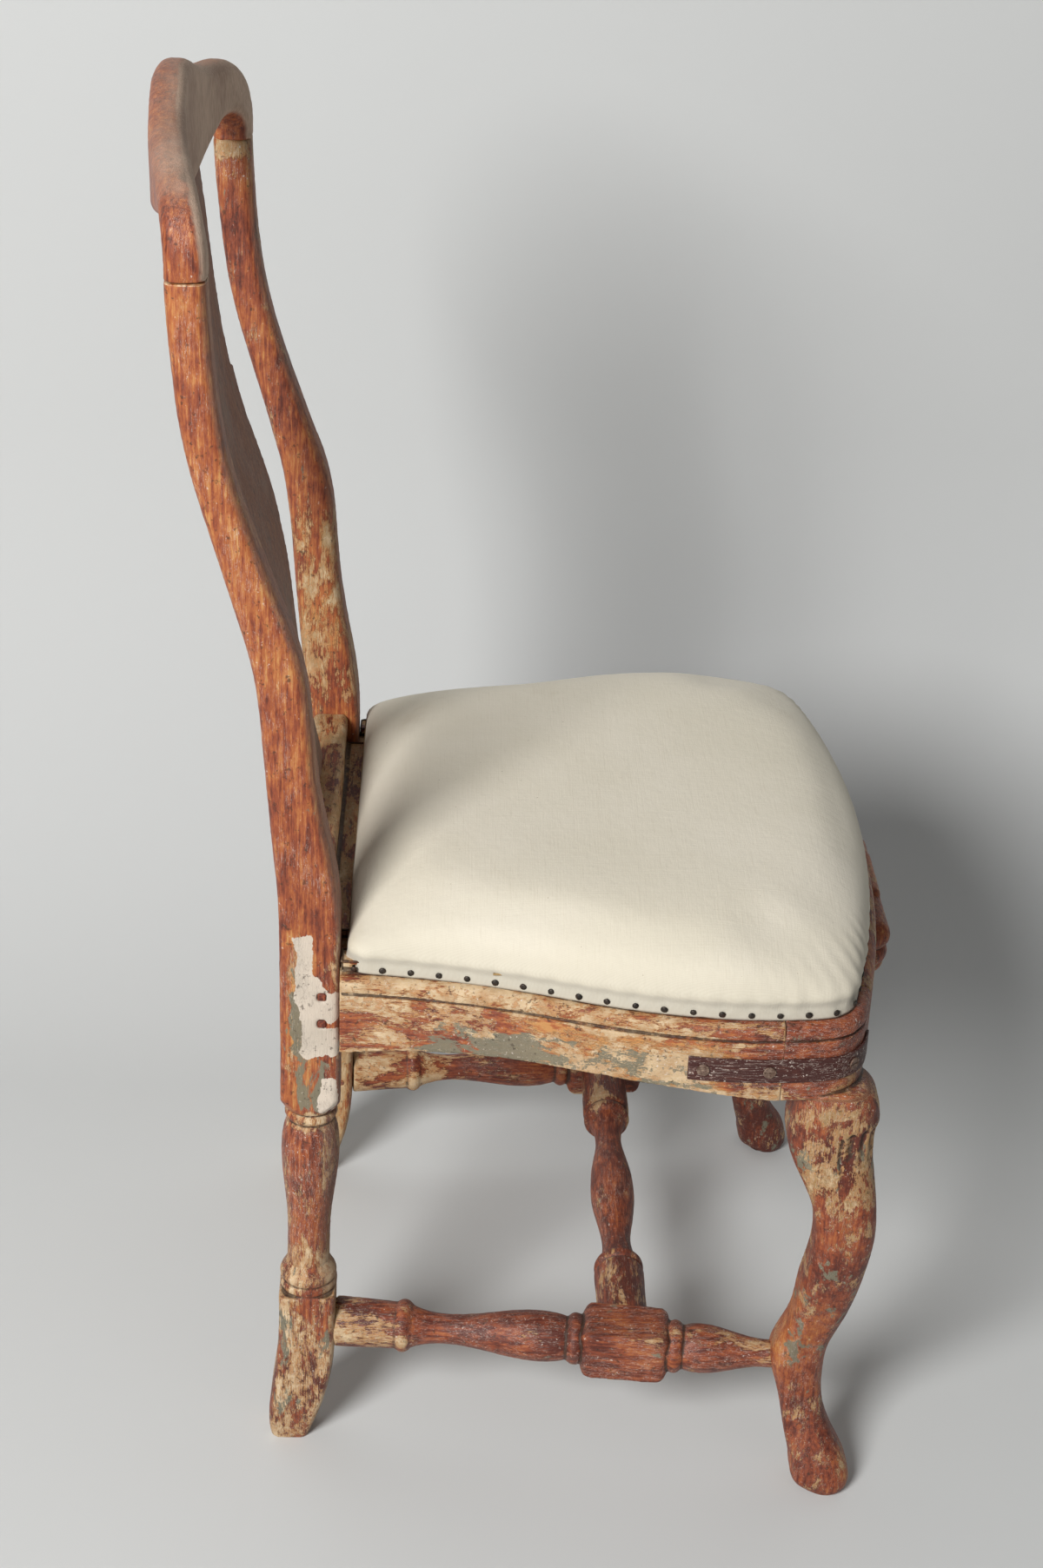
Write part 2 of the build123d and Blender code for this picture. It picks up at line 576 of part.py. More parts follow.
def right_front_leg_body():
    """Right front leg without its mortises: moulded block, knee, ankle and foot."""
    corner = block(-FAR, -FRONT_JOINT, -FAR, SIDE_JOINT, 0, FAR)
    top = SLAB & corner
    knee = Pos(BLOCK_X, BLOCK_Y, RAIL_BOTTOM + KNEE_OVERLAP)
    sections = [knee * RectangleRounded(KNEE_SIDE, KNEE_SIDE, KNEE_SIDE * SECTION_ROUND)]
    for station in LEG_STATIONS:
        sections.append(leg_section(*station))
    return top + loft(sections)


def right_front_leg():
    """Right front leg with its mortises and peg holes."""
    leg = LEG_BODY - side_front_tenon(FIT)
    leg -= front_tenon(FIT)
    leg -= round_tenons(FIT)[1]
    for peg in leg_pegs(FIT):
        leg -= peg
    return leg - stretcher_pegs(FIT)[1]


def arch(low, high, axis):
    """Cutter for an arched underside between two places along Y or X."""
    rise = RAIL_BOTTOM + RAIL_ARCH
    curve = ThreePointArc((low, RAIL_BOTTOM), ((low + high) / 2, rise), (high, RAIL_BOTTOM))
    flat = make_face([curve, Line((high, RAIL_BOTTOM), (low, RAIL_BOTTOM))])
    plane = SIDE_PLANE if axis == "Y" else Plane.XZ
    return extrude(plane * flat, amount=FAR, both=True)


def right_side_rail():
    """Right side rail with tenons into the back post and the front leg."""
    span = block(-FAR, 0, SIDE_JOINT, SEAT_BACK, 0, FAR)
    rail = RING & span
    rail -= arch(SIDE_JOINT + ARCH_MARGIN, SEAT_BACK - ARCH_MARGIN, "Y")
    rail = rail + side_back_tenon() + side_front_tenon()
    for peg in rail_pegs(FIT)[:2] + leg_pegs(FIT)[:1]:
        rail -= peg
    return rail


def front_rail():
    """Front rail with tenons into both front legs and an arched underside beside the shell."""
    span = block(-FRONT_JOINT, FRONT_JOINT, -FAR, SIDE_JOINT, 0, FAR)
    rail = RING & span
    for side in (-1, 1):
        ends = sorted((side * (FRONT_JOINT - ARCH_MARGIN), side * ARCH_INNER))
        rail -= arch(ends[0], ends[1], "X")
    tenon = front_tenon() - leg_pegs(FIT)[1]
    return rail + tenon + mirror(tenon, Plane.YZ)


def rear_rail():
    """Rear rail between the back posts, with a step for the webbing."""
    rail = block(-POST_INNER, POST_INNER, REAR_RAIL_FRONT, REAR_RAIL_FRONT + REAR_RAIL_THICKNESS,
                 RAIL_BOTTOM, REAR_RAIL_TOP)
    step = block(-POST_INNER, POST_INNER, REAR_RAIL_FRONT - LEDGE_DEPTH, REAR_RAIL_FRONT,
                 LIP_TOP - LEDGE_HEIGHT, LIP_TOP)
    tenon = rear_tenon()
    for peg in rail_pegs(FIT)[2:]:
        tenon -= peg
    return rail + step + tenon + mirror(tenon, Plane.YZ)


def splat_foot(grow=0.0):
    """Tongue of the splat in the shoe."""
    half = TONGUE_THICKNESS / 2 + grow
    y = SPLAT_FOOT_FRONT + SPLAT_THICKNESS / 2
    reach = SPLAT_FOOT_HALF - TONGUE_SHOULDER + grow
    return block(-reach, reach, y - half, y + half, SHOE_TOP - TONGUE_HEIGHT - grow, SHOE_TOP + TONGUE_LAP)


def splat_top(grow=0.0):
    """Tongue of the splat in the crest rail."""
    half = TONGUE_THICKNESS / 2 + grow
    y = SPLAT_TOP_FRONT + SPLAT_THICKNESS / 2
    reach = SPLAT_TOP_HALF - TONGUE_SHOULDER + grow
    top = CREST_UNDER + 2 * TONGUE_HEIGHT + grow
    return block(-reach, reach, y - half, y + half, CREST_UNDER - TONGUE_LAP, top)


def shoe():
    """Moulded shoe on the rear rail, slotted for the splat."""
    front = REAR_RAIL_Y - SHOE_DEPTH / 2
    bar = block(-POST_INNER, POST_INNER, front, front + SHOE_DEPTH, REAR_RAIL_TOP, SHOE_TOP)
    bar = fillet(bar.edges().filter_by(Axis.X).group_by(Axis.Z)[-1], SHOE_ROUND)
    return bar - splat_foot(FIT)


def splat():
    """Bent splat: side curve crossed with the baluster outline."""
    top = CREST_UNDER + TONGUE_HEIGHT + SPLAT_LAP
    front = [(SPLAT_FOOT_FRONT, SHOE_TOP)] + [(y, z) for z, y in SPLAT_CURVE] + [(SPLAT_TOP_FRONT, top)]
    face_line = Spline(*front)
    back_line = Spline(*[(y + SPLAT_THICKNESS, z) for y, z in front])
    ends = [Line(face_line @ at, back_line @ at) for at in (0, 1)]
    side = make_face([face_line, back_line] + ends)
    plank = extrude(SIDE_PLANE * side, amount=FAR / 4, both=True)
    lower = Spline((SPLAT_FOOT_HALF, SHOE_TOP), *SPLAT_OUTLINE, (SPLAT_RIM_HALF, SPLAT_RIM_HEIGHT))
    rim = Line(lower @ 1, (SPLAT_NECK_HALF, SPLAT_RIM_HEIGHT + SPLAT_RIM_STEP))
    leans = ((-SPLAT_NECK_LEAN, 1), (SPLAT_TOP_LEAN, 1))
    upper = Spline(rim @ 1, (SPLAT_TOP_HALF, top), tangents=leans)
    half = [lower, rim, upper]
    other = [mirror(edge, Plane.YZ) for edge in half]
    outline = make_face(half + other + [Line(upper @ 1, other[2] @ 1), Line(lower @ 0, other[0] @ 0)])
    board = plank & extrude(Plane.XZ * outline, amount=FAR / 2, both=True)
    return board - CREST + splat_foot() + splat_top()


def crest_body():
    """Bowed crest rail, lofted along its own line from post to post."""
    ends = (POST_TOP_X + POST_TOP_WIDTH / 2, CREST_JOINT, POST_TOP_X - POST_TOP_WIDTH / 2, CREST_JOINT)
    rise = CREST_TOP - CREST_JOINT
    half = [ends] + [(xo, CREST_JOINT + part * rise, xi, zi) for xo, part, xi, zi in CREST_STATIONS]
    middle = (0.0, CREST_TOP, 0.0, CREST_UNDER)
    rows = [(-a, b, -c, d) for a, b, c, d in half] + [middle] + list(reversed(half))
    end_y = POST_TOP_REAR - POST_TOP_DEPTH / 2
    sections = []
    for xo, zo, xi, zi in rows:
        x = (xo + xi) / 2
        share = 1 - (abs(x) / POST_TOP_X) ** 2
        up = Vector(xo - xi, 0, zo - zi)
        along = Vector(0, 1, 0).cross(up)
        thick = POST_TOP_DEPTH + (CREST_MIDDLE - POST_TOP_DEPTH) * share
        plane = Plane(origin=(x, end_y + CREST_BOW * share, (zo + zi) / 2), x_dir=(0, 1, 0), z_dir=along)
        radius = POST_TOP_ROUND + (CREST_ROUND * thick - POST_TOP_ROUND) * min(1.0, CREST_BLEND * share)
        sections.append(plane * RectangleRounded(thick, up.length, radius))
    return loft(sections)


def crest_rail():
    """Crest rail with the posts' mortises and the splat's groove."""
    crest = CREST - splat_top(FIT)
    tenon = crest_tenon(FIT)
    peg = crest_peg(FIT)
    return crest - tenon - mirror(tenon, Plane.YZ) - peg - mirror(peg, Plane.YZ)


def turned_side_stretcher():
    """Turned parts of the right side stretcher about Z, from the rear leg to the front leg."""
    first = STRETCH_BUTT_LENGTH
    ring = first + STRETCH_RING_LENGTH
    block_low = CROSS_T - STRETCH_BLOCK_LENGTH / 2 + STRETCH_BLOCK_LAP
    block_high = CROSS_T + STRETCH_BLOCK_LENGTH / 2 - STRETCH_BLOCK_LAP
    low_ring = block_low - STRETCH_RING_LENGTH
    high_ring = block_high + STRETCH_RING_LENGTH
    half = STRETCH_RING_LENGTH / 2
    thin = (STRETCH_THIN, ring + STRETCH_THIN_PLACE)
    swell = (STRETCH_SWELL, low_ring - STRETCH_SWELL_PLACE)
    knop = (STRETCH_KNOP, high_ring + STRETCH_KNOP_PLACE)
    neck = (STRETCH_NECK, high_ring + STRETCH_NECK_PLACE)
    with BuildPart() as body:
        with BuildSketch(Plane.XZ):
            with BuildLine():
                l1 = Polyline((0, 0), (STRETCH_BUTT, 0), (STRETCH_BUTT_END, first), (STRETCH_GROOVE, first))
                l2 = ThreePointArc(l1 @ 1, (STRETCH_RING, first + half), (STRETCH_GROOVE, ring))
                l3 = Spline(l2 @ 1, thin, swell, (STRETCH_GROOVE, low_ring))
                l4 = ThreePointArc(l3 @ 1, (STRETCH_RING, low_ring + half), (STRETCH_GROOVE, block_low))
                l5 = Line(l4 @ 1, (STRETCH_GROOVE, block_high))
                l6 = ThreePointArc(l5 @ 1, (STRETCH_RING, high_ring - half), (STRETCH_GROOVE, high_ring))
                l7 = Spline(l6 @ 1, knop, neck, (STRETCH_END, STRETCH_LENGTH))
                l8 = Line(l7 @ 1, (0, STRETCH_LENGTH))
                Line(l8 @ 1, (0, 0))
            make_face()
        revolve(axis=Axis.Z)
    return body.part


def stretcher_block():
    """Square block of the right side stretcher."""
    cube = Box(STRETCH_BLOCK, STRETCH_BLOCK, STRETCH_BLOCK_LENGTH)
    groups = cube.edges().group_by(Axis.Z)
    cube = fillet(groups[0] + groups[-1], STRETCH_BLOCK_ROUND)
    return STRETCH_PLANE * Pos(0, 0, CROSS_T) * cube


def right_side_stretcher():
    """Right side stretcher, scribed to both legs, with its tenons and the cross stretcher's mortise."""
    turned = STRETCH_PLANE * turned_side_stretcher() - LEG_BODY - REAR_FOOT
    back, front = round_tenons()
    bar = turned + stretcher_block() + back + front
    bar -= cross_tenon(FIT)
    for peg in stretcher_pegs(FIT):
        bar -= peg
    return bar


def cross_stretcher():
    """Cross stretcher, scribed to both blocks."""
    low = CROSS_RING_PLACE - CROSS_RING_HALF
    high = CROSS_RING_PLACE + CROSS_RING_HALF
    end = CROSS_END + SCRIBE
    with BuildPart() as half:
        with BuildSketch(Plane.XZ):
            with BuildLine():
                l1 = Spline((CROSS_SWELL, 0), (CROSS_THIN, CROSS_THIN_PLACE), (CROSS_GROOVE, low),
                            tangents=((0, 1), (1, 2)))
                l2 = ThreePointArc(l1 @ 1, (CROSS_RING, CROSS_RING_PLACE), (CROSS_GROOVE, high))
                l3 = Polyline(l2 @ 1, (CROSS_BUTT, CROSS_BUTT_START), (CROSS_BUTT, end), (0, end), (0, 0))
                Line(l3 @ 1, (CROSS_SWELL, 0))
            make_face()
        revolve(axis=Axis.Z)
    right = Pos(0, CROSS_Y, STRETCHER_HEIGHT) * Rot(0, -90, 0) * half.part
    right = right - stretcher_block() + cross_tenon() - stretcher_pegs(FIT)[2]
    return right + mirror(right, Plane.YZ)


def rib_end(number):
    """Middle of a shell rib's lobe."""
    angle = math.radians((number - (SHELL_RIBS - 1) / 2) * SHELL_FAN)
    x = SHELL_SPREAD * math.sin(angle)
    return Vector(x, front_y(x, 0.0) - SHELL_SINK, SHELL_HINGE - SHELL_DROP * math.cos(angle))


def apron_shell():
    """Scalloped shell: ribs that spread from a roll, hollowed behind to lie on the front rail."""
    root = Vector(0, SEAT_FRONT - SHELL_SINK, SHELL_HINGE)
    ends = [Pos(x, root.Y, root.Z) * Sphere(SHELL_ROLL) for x in (-SHELL_ROLL_HALF, SHELL_ROLL_HALF)]
    shell = Pos(0, root.Y, root.Z) * Rot(0, 90, 0) * Cylinder(SHELL_ROLL, 2 * SHELL_ROLL_HALF)
    shell = shell + ends[0] + ends[1]
    for number in range(SHELL_RIBS):
        lobe = rib_end(number)
        line = lobe - root
        cone = Cone(SHELL_ROOT, SHELL_LOBE, line.length)
        rib = Plane(origin=root, z_dir=line) * Pos(0, 0, line.length / 2) * cone
        shell = shell + rib + Pos(lobe.X, lobe.Y, lobe.Z) * Sphere(SHELL_LOBE)
    shell = shell - layer(0.0, RAIL_BOTTOM, RAIL_TOP)
    return shell - layer(SHELL_HANG, 0.0, RAIL_BOTTOM)


def front_y(x, inset):
    """Y of the bowed front at a distance from the middle plane."""
    arc = seat_edges(inset, 0.0)[4]
    radius = arc.radius
    return (arc @ 1).Y + radius - math.sqrt(radius ** 2 - x ** 2)


def side_place(y, inset):
    """Point and outward direction on the right side of the outline at a Y."""
    for arc in seat_edges(inset, 0.0):
        if (arc @ 0).Y >= y >= (arc @ 1).Y:
            low, high = 0.0, 1.0
            for _ in range(40):
                middle = (low + high) / 2
                low, high = (middle, high) if (arc @ middle).Y > y else (low, middle)
            return arc @ low, outward(arc % low)
    raise ValueError("place outside the outline")


def outward(tangent):
    """Outward direction for a tangent of the right half of the outline."""
    return Vector(tangent.Y, -tangent.X, 0)


def cushion_face(inset, drawn, plan=1.0):
    """Plan of the cushion: the seat outline with rounded rear corners, whose back edge is drawn forward."""
    hollow, flare, cheek, bend, bow = seat_edges(inset, 0.0, plan)
    cut = CUSHION_SETBACK / math.radians(HOLLOW_TURN) / HOLLOW_RADIUS
    place = hollow @ cut
    heading = hollow % cut
    side = JernArc(place, heading, (HOLLOW_RADIUS + inset) * plan, -HOLLOW_TURN * (1 - cut))
    radius = (CUSHION_CORNER - drawn) * plan
    corner = JernArc(place, heading * -1, radius, -(90 - SIDE_HEADING - HOLLOW_TURN * cut))
    front = JernArc(bow @ 0, bow % 0, bow.radius, 2 * math.degrees(bow.length / bow.radius))
    half = [corner, side, flare, cheek, bend]
    other = [mirror(edge, Plane.YZ) for edge in half]
    return make_face(half + [front] + other[::-1] + [Line(corner @ 1, other[0] @ 1)])


def cushion(grow):
    """Crowned cushion above the tacking step, drawn in by grow all round."""
    inset = COVER_INSET + grow
    crown = SEAT_CROWN - grow - LIP_TOP
    sides = [Pos(0, 0, LIP_TOP) * cushion_face(inset, grow)]
    for height, out in CUSHION_STATIONS:
        sides.append(Pos(0, 0, LIP_TOP + height) * cushion_face(inset - out, grow))
    tops = []
    for plan, part in CROWN_STATIONS:
        tops.append(Pos(0, 0, LIP_TOP + crown * part) * cushion_face(inset, grow, plan))
    return loft(sides + tops[:CROWN_SPLIT + 1]) + loft(tops[CROWN_SPLIT:])


def skirt(grow, low):
    """Straight lower edge of the cushion, beside the tacking step."""
    return Pos(0, 0, low) * extrude(cushion_face(COVER_INSET + grow, grow), amount=LIP_TOP - low)


def seat_cover():
    """Cloth over the seat, turned down on the tacking step."""
    outer = cushion(0.0) + skirt(0.0, RAIL_TOP + SOFT_GAP)
    inner = cushion(COVER_THICKNESS) + skirt(COVER_THICKNESS, RAIL_TOP)
    step = layer(COVER_INSET + COVER_THICKNESS, RAIL_TOP, LIP_TOP + SOFT_GAP, BACK_LEAD)
    return outer - inner - step


def seat_stuffing():
    """Stuffing between the hessian and the cover."""
    return cushion(COVER_THICKNESS + SOFT_GAP) & block(-FAR, FAR, -FAR, FAR, STUFFING_LOW, FAR)


def web_places():
    """Middle of each webbing band from the middle one outward, as a row about zero."""
    return [WEB_PITCH * (number - (WEB_COUNT - 1) / 2) for number in range(WEB_COUNT)]


def webbing(lengthwise):
    """Webbing bands one way, trimmed to the tacking step."""
    low = WEB_LOW if lengthwise else CROSS_WEB_LOW
    plan = layer(WEB_INSET, low, low + WEB_THICKNESS) & block(-FAR, FAR, -FAR, WEB_BACK, 0, FAR)
    bands = []
    for place in web_places():
        start = place - WEB_WIDTH / 2
        if lengthwise:
            strip = block(start, start + WEB_WIDTH, -FAR, FAR, 0, FAR)
        else:
            middle = WEB_FIRST_Y - WEB_PITCH * (WEB_COUNT - 1) / 2
            strip = block(-FAR, FAR, middle + start, middle + start + WEB_WIDTH, 0, FAR)
        bands.append(plan & strip)
    return bands


def base_hessian():
    """Cloth over the webbing."""
    cloth = layer(HESSIAN_INSET, HESSIAN_LOW, HESSIAN_LOW + HESSIAN_THICKNESS)
    return cloth & block(-FAR, FAR, -FAR, WEB_BACK, 0, FAR)


def tack(point, direction, z, grow=0.0):
    """Tack whose head rests at a point, with the shank against the direction."""
    plane = Plane(origin=(point.X, point.Y, z), z_dir=direction)
    head = plane * Pos(0, 0, TACK_OFF + TACK_HEAD_HEIGHT / 2) * Cylinder(TACK_HEAD, TACK_HEAD_HEIGHT)
    reach = TACK_LENGTH + grow + TACK_OFF
    shank = plane * Pos(0, 0, TACK_OFF - reach / 2) * Cylinder(TACK_SHANK + grow, reach)
    return shank if grow > 0 else head + shank


def cover_tacks(grow=0.0):
    """Tacks of the right half along the cover's edge."""
    chain = seat_edges(COVER_INSET, 0.0)
    pitch = (sum(edge.length for edge in chain) - TACK_END) / (TACK_COUNT - 0.5)
    tacks = []
    for number in range(TACK_COUNT):
        along = TACK_END + pitch * number
        for edge in chain:
            if along <= edge.length:
                break
            along -= edge.length
        at = along / edge.length
        tacks.append(tack(edge @ at, outward(edge % at), RAIL_TOP + TACK_HEIGHT, grow))
    return tacks


def web_tacks(grow=0.0):
    """Tacks at the ends of the right half's webbing bands."""
    up = Vector(0, 0, 1)
    tacks = []
    for place in web_places():
        for shift in (-WEB_TACK_SPREAD, WEB_TACK_SPREAD):
            x = place + shift
            if x < 0:
                front = Vector(x, front_y(x, WEB_TACK_INSET), 0)
                rear = Vector(x, WEB_TACK_REAR, 0)
                tacks.append(tack(front, up, WEB_LOW + WEB_THICKNESS, grow))
                tacks.append(tack(rear, up, WEB_LOW + WEB_THICKNESS, grow))
            y = WEB_FIRST_Y - WEB_PITCH * (WEB_COUNT - 1) / 2 + x
            side, _ = side_place(y, WEB_TACK_INSET)
            tacks.append(tack(side, up, CROSS_WEB_LOW + WEB_THICKNESS, grow))
    return tacks


def mending_strap():
    """Iron strap bent round the right front corner."""
    low = STRAP_CENTRE - STRAP_WIDTH / 2
    band = layer(-STRAP_THICKNESS, low, low + STRAP_WIDTH) - layer(0.0, low, low + STRAP_WIDTH)
    band = band & block(-FAR, -STRAP_FRONT, -FAR, STRAP_BACK, 0, FAR)
    for screw in strap_screws(FIT):
        band -= screw
    return band


def strap_screws(grow=0.0):
    """Slotted screws of the strap."""
    corner = seat_edges(-STRAP_THICKNESS, 0.0)[3]
    places = [side_place(y, -STRAP_THICKNESS) for y in SCREW_PLACES]
    places.append((corner @ 0.5, outward(corner % 0.5)))
    screws = []
    for point, direction in places:
        plane = Plane(origin=(point.X, point.Y, STRAP_CENTRE), x_dir=(0, 0, 1), z_dir=direction)
        reach = SCREW_LENGTH + grow
        shank = plane * Pos(0, 0, -reach / 2) * Cylinder(SCREW_SHANK + grow, reach)
        if grow > 0:
            screws.append(shank)
            continue
        head = plane * Pos(0, 0, SCREW_HEAD_HEIGHT / 2) * Cylinder(SCREW_HEAD, SCREW_HEAD_HEIGHT)
        slot = plane * Pos(0, 0, SCREW_HEAD_HEIGHT) * Box(SCREW_SLOT, 3 * SCREW_HEAD, SCREW_HEAD_HEIGHT)
        screws.append(head - slot + shank)
    return screws


def pierce(shape, tools):
    """Cut the holes whose boxes meet the shape's box in plan."""
    box = shape.bounding_box()
    near = []
    for tool in tools:
        reach = tool.bounding_box()
        in_x = reach.min.X < box.max.X and reach.max.X > box.min.X
        in_y = reach.min.Y < box.max.Y and reach.max.Y > box.min.Y
        if in_x and in_y:
            near.append(tool)
    return shape - near if near else shape


def both(pieces):
    """Pieces of the right side together with their mirror images."""
    return Compound(children=pieces + [mirror(piece, Plane.YZ) for piece in pieces])


def save(shape, name):
    """Write one node."""
    export_step(shape, "parts/" + name + ".step")
    print(name, round(shape.volume), "mm3,", len(shape.solids()), "solid(s)")


def save_pair(shape, name):
    """Write a right-hand piece and its mirror image."""
    save(shape, "right_" + name)
    save(mirror(shape, Plane.YZ), "left_" + name)


os.makedirs("parts", exist_ok=True)
SLAB = moulded_slab()
RING = SLAB - layer(RAIL_THICKNESS, 0.0, FAR, BACK_LEAD * 2)
CREST = crest_body()
LEG_BODY = right_front_leg_body()
REAR_FOOT = loft(rear_foot_sections())
HALF_HOLES = cover_tacks(FIT) + web_tacks(FIT)
ALL_HOLES = HALF_HOLES + [mirror(hole, Plane.YZ) for hole in HALF_HOLES]

save_pair(right_back_post(), "back_stile")
save(crest_rail(), "crest_rail")
save(splat(), "back_splat")
save(shoe(), "splat_shoe")
save(pierce(rear_rail(), ALL_HOLES), "rear_seat_rail")
side_rail = pierce(right_side_rail(), HALF_HOLES)
save(pierce(side_rail, strap_screws(FIT)), "right_side_rail")
save(mirror(side_rail, Plane.YZ), "left_side_rail")
save(pierce(front_rail(), ALL_HOLES), "front_seat_rail")
front_leg = pierce(right_front_leg(), HALF_HOLES)
save(pierce(front_leg, strap_screws(FIT)), "right_front_leg")
save(mirror(front_leg, Plane.YZ), "left_front_leg")
save(apron_shell(), "apron_shell")
save_pair(right_side_stretcher(), "side_stretcher")
save(cross_stretcher(), "cross_stretcher")
save(Compound(children=[pierce(band, ALL_HOLES) for band in webbing(True)]), "lengthwise_webbing")
save(Compound(children=[pierce(band, ALL_HOLES) for band in webbing(False)]), "crosswise_webbing")
save(base_hessian(), "base_hessian")
save(seat_stuffing(), "seat_stuffing")
save(pierce(seat_cover(), ALL_HOLES), "seat_cover")
save(both(cover_tacks()), "cover_tacks")
save(both(web_tacks()), "webbing_tacks")
save(both(rail_pegs()), "rail_pegs")
save(both(leg_pegs()), "leg_pegs")
save(both(stretcher_pegs()), "stretcher_pegs")
save(both([crest_peg()]), "crest_pegs")
save(mending_strap(), "corner_mending_strap")
save(Compound(children=strap_screws()), "strap_screws")
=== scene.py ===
# %% [markdown]
# # A painted rococo side chair, dressed in Blender
# The chair's pieces come from the CAD frame, already in their places and in metres. This lesson
# turns them into an old chair: layers of worn paint on carved wood, and a cotton seat drawn down
# over stuffing and tacked. First the frame is loaded. The dressed chair may not outgrow it.

# %% Load the frame
import math

import bmesh
import bpy
import numpy as np
from mathutils import Matrix, Vector
from mathutils.bvhtree import BVHTree
from mathutils.kdtree import KDTree


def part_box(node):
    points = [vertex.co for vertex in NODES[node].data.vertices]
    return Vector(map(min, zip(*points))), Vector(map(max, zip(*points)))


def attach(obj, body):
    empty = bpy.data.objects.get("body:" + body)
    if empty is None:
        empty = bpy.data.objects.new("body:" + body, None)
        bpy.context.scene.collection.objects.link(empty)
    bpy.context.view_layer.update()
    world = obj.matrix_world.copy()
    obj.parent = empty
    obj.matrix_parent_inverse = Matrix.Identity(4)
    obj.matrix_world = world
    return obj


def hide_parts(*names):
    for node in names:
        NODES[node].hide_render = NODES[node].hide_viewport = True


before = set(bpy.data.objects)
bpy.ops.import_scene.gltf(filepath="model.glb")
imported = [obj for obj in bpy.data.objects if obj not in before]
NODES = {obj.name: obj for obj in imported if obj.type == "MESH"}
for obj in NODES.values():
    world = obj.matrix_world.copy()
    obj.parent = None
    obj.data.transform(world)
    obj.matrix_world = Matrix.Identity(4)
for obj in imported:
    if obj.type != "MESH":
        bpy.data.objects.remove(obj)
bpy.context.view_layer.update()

SCENE = bpy.context.scene

# %% [markdown]
# ## Helpers for shapes
# Old carved wood is never quite flat or crisp. A voxel remesh gives each solid an even skin of small
# quads, and a cheap lattice noise then moves the points: waves left by the plane, softened edges and
# small losses. Noise from numpy gives the same result each run and is quick on many points.

# %% Noise and smoothing on points
CELL_STEPS = (73856093, 19349663, 83492791)
SEED_STEP = 51749
SEED_SHIFT = 7.31
FIRST_STIR = 1274126177
SECOND_STIR = 668265263
LOW_BITS = 0x7FFFFFFF


def eased(t):
    """A ramp from 0 to 1 with soft ends."""
    return t * t * (3 - 2 * t)


def lattice(cell, seed):
    """Random value from -1 to 1 for each lattice cell."""
    mixed = cell[:, 0] * CELL_STEPS[0] ^ cell[:, 1] * CELL_STEPS[1] ^ cell[:, 2] * CELL_STEPS[2]
    mixed = mixed ^ (seed * SEED_STEP)
    mixed = (mixed ^ (mixed >> 13)) * FIRST_STIR & LOW_BITS
    mixed = (mixed ^ (mixed >> 11)) * SECOND_STIR & LOW_BITS
    return mixed / (LOW_BITS >> 1) - 1.0


def lump_noise(points, per_metre, seed):
    """Smooth noise from -1 to 1 with about that many lumps in a metre; per_metre may differ by axis."""
    place = points * np.asarray(per_metre, float) + seed * SEED_SHIFT
    cell = np.floor(place).astype(np.int64)
    part = eased(place - cell)
    total = np.zeros(len(points))
    for dx in (0, 1):
        for dy in (0, 1):
            for dz in (0, 1):
                corner = lattice(cell + np.array((dx, dy, dz)), seed)
                weight = np.abs(1 - dx - part[:, 0]) * np.abs(1 - dy - part[:, 1])
                weight = weight * np.abs(1 - dz - part[:, 2])
                total += corner * weight
    return total


def step_up(value, low, high):
    """0 below low, 1 above high, smooth between."""
    return eased(np.clip((value - low) / (high - low), 0, 1))


def spread(values, edges, rounds):
    """Average of each point's value with its neighbours, some rounds over."""
    count = np.bincount(edges.ravel(), minlength=len(values)).astype(float)
    count[count == 0] = 1
    for _ in range(rounds):
        if values.ndim == 1:
            total = np.bincount(edges[:, 0], values[edges[:, 1]], len(values))
            total += np.bincount(edges[:, 1], values[edges[:, 0]], len(values))
            values = 0.5 * values + 0.5 * total / count
        else:
            values = np.stack([spread(values[:, k], edges, 1) for k in range(3)], 1)
    return values


print("noise check:", round(float(lump_noise(np.array([[0.1, 0.2, 0.3]]), 20, 1)[0]), 4))

# %% Meshes in and out of numpy
def points_of(mesh):
    co = np.empty(len(mesh.vertices) * 3, np.float32)
    mesh.vertices.foreach_get("co", co)
    return co.reshape(-1, 3).astype(float)


def normals_of(mesh):
    no = np.empty(len(mesh.vertices) * 3, np.float32)
    mesh.vertex_normals.foreach_get("vector", no)
    return no.reshape(-1, 3).astype(float)


def edges_of(mesh):
    pairs = np.empty(len(mesh.edges) * 2, np.int32)
    mesh.edges.foreach_get("vertices", pairs)
    return pairs.reshape(-1, 2)


def set_points(mesh, points):
    mesh.vertices.foreach_set("co", points.astype(np.float32).ravel())
    mesh.update()


def set_mask(mesh, name, values):
    """Keep one number per point for the materials."""
    layer = mesh.attributes.get(name) or mesh.attributes.new(name, "FLOAT", "POINT")
    layer.data.foreach_set("value", values.astype(np.float32))


def new_object(name, mesh):
    made = bpy.data.objects.new(name, mesh)
    SCENE.collection.objects.link(made)
    return made


def shade_smooth(mesh):
    mesh.polygons.foreach_set("use_smooth", np.ones(len(mesh.polygons), bool))


print("mesh helpers ready for", sum(len(piece.data.vertices) for piece in NODES.values()), "CAD points")

# %% Meshes made from other meshes
SAME_PLACE = 1e-6


def welded(mesh):
    """Editable copy of a mesh in which points at the same place are one."""
    work = bmesh.new()
    work.from_mesh(mesh)
    bmesh.ops.remove_doubles(work, verts=work.verts, dist=SAME_PLACE)
    return work


def mesh_from(work, name):
    """New mesh from an editable one, which is then freed."""
    mesh = bpy.data.meshes.new(name)
    work.to_mesh(mesh)
    work.free()
    return mesh


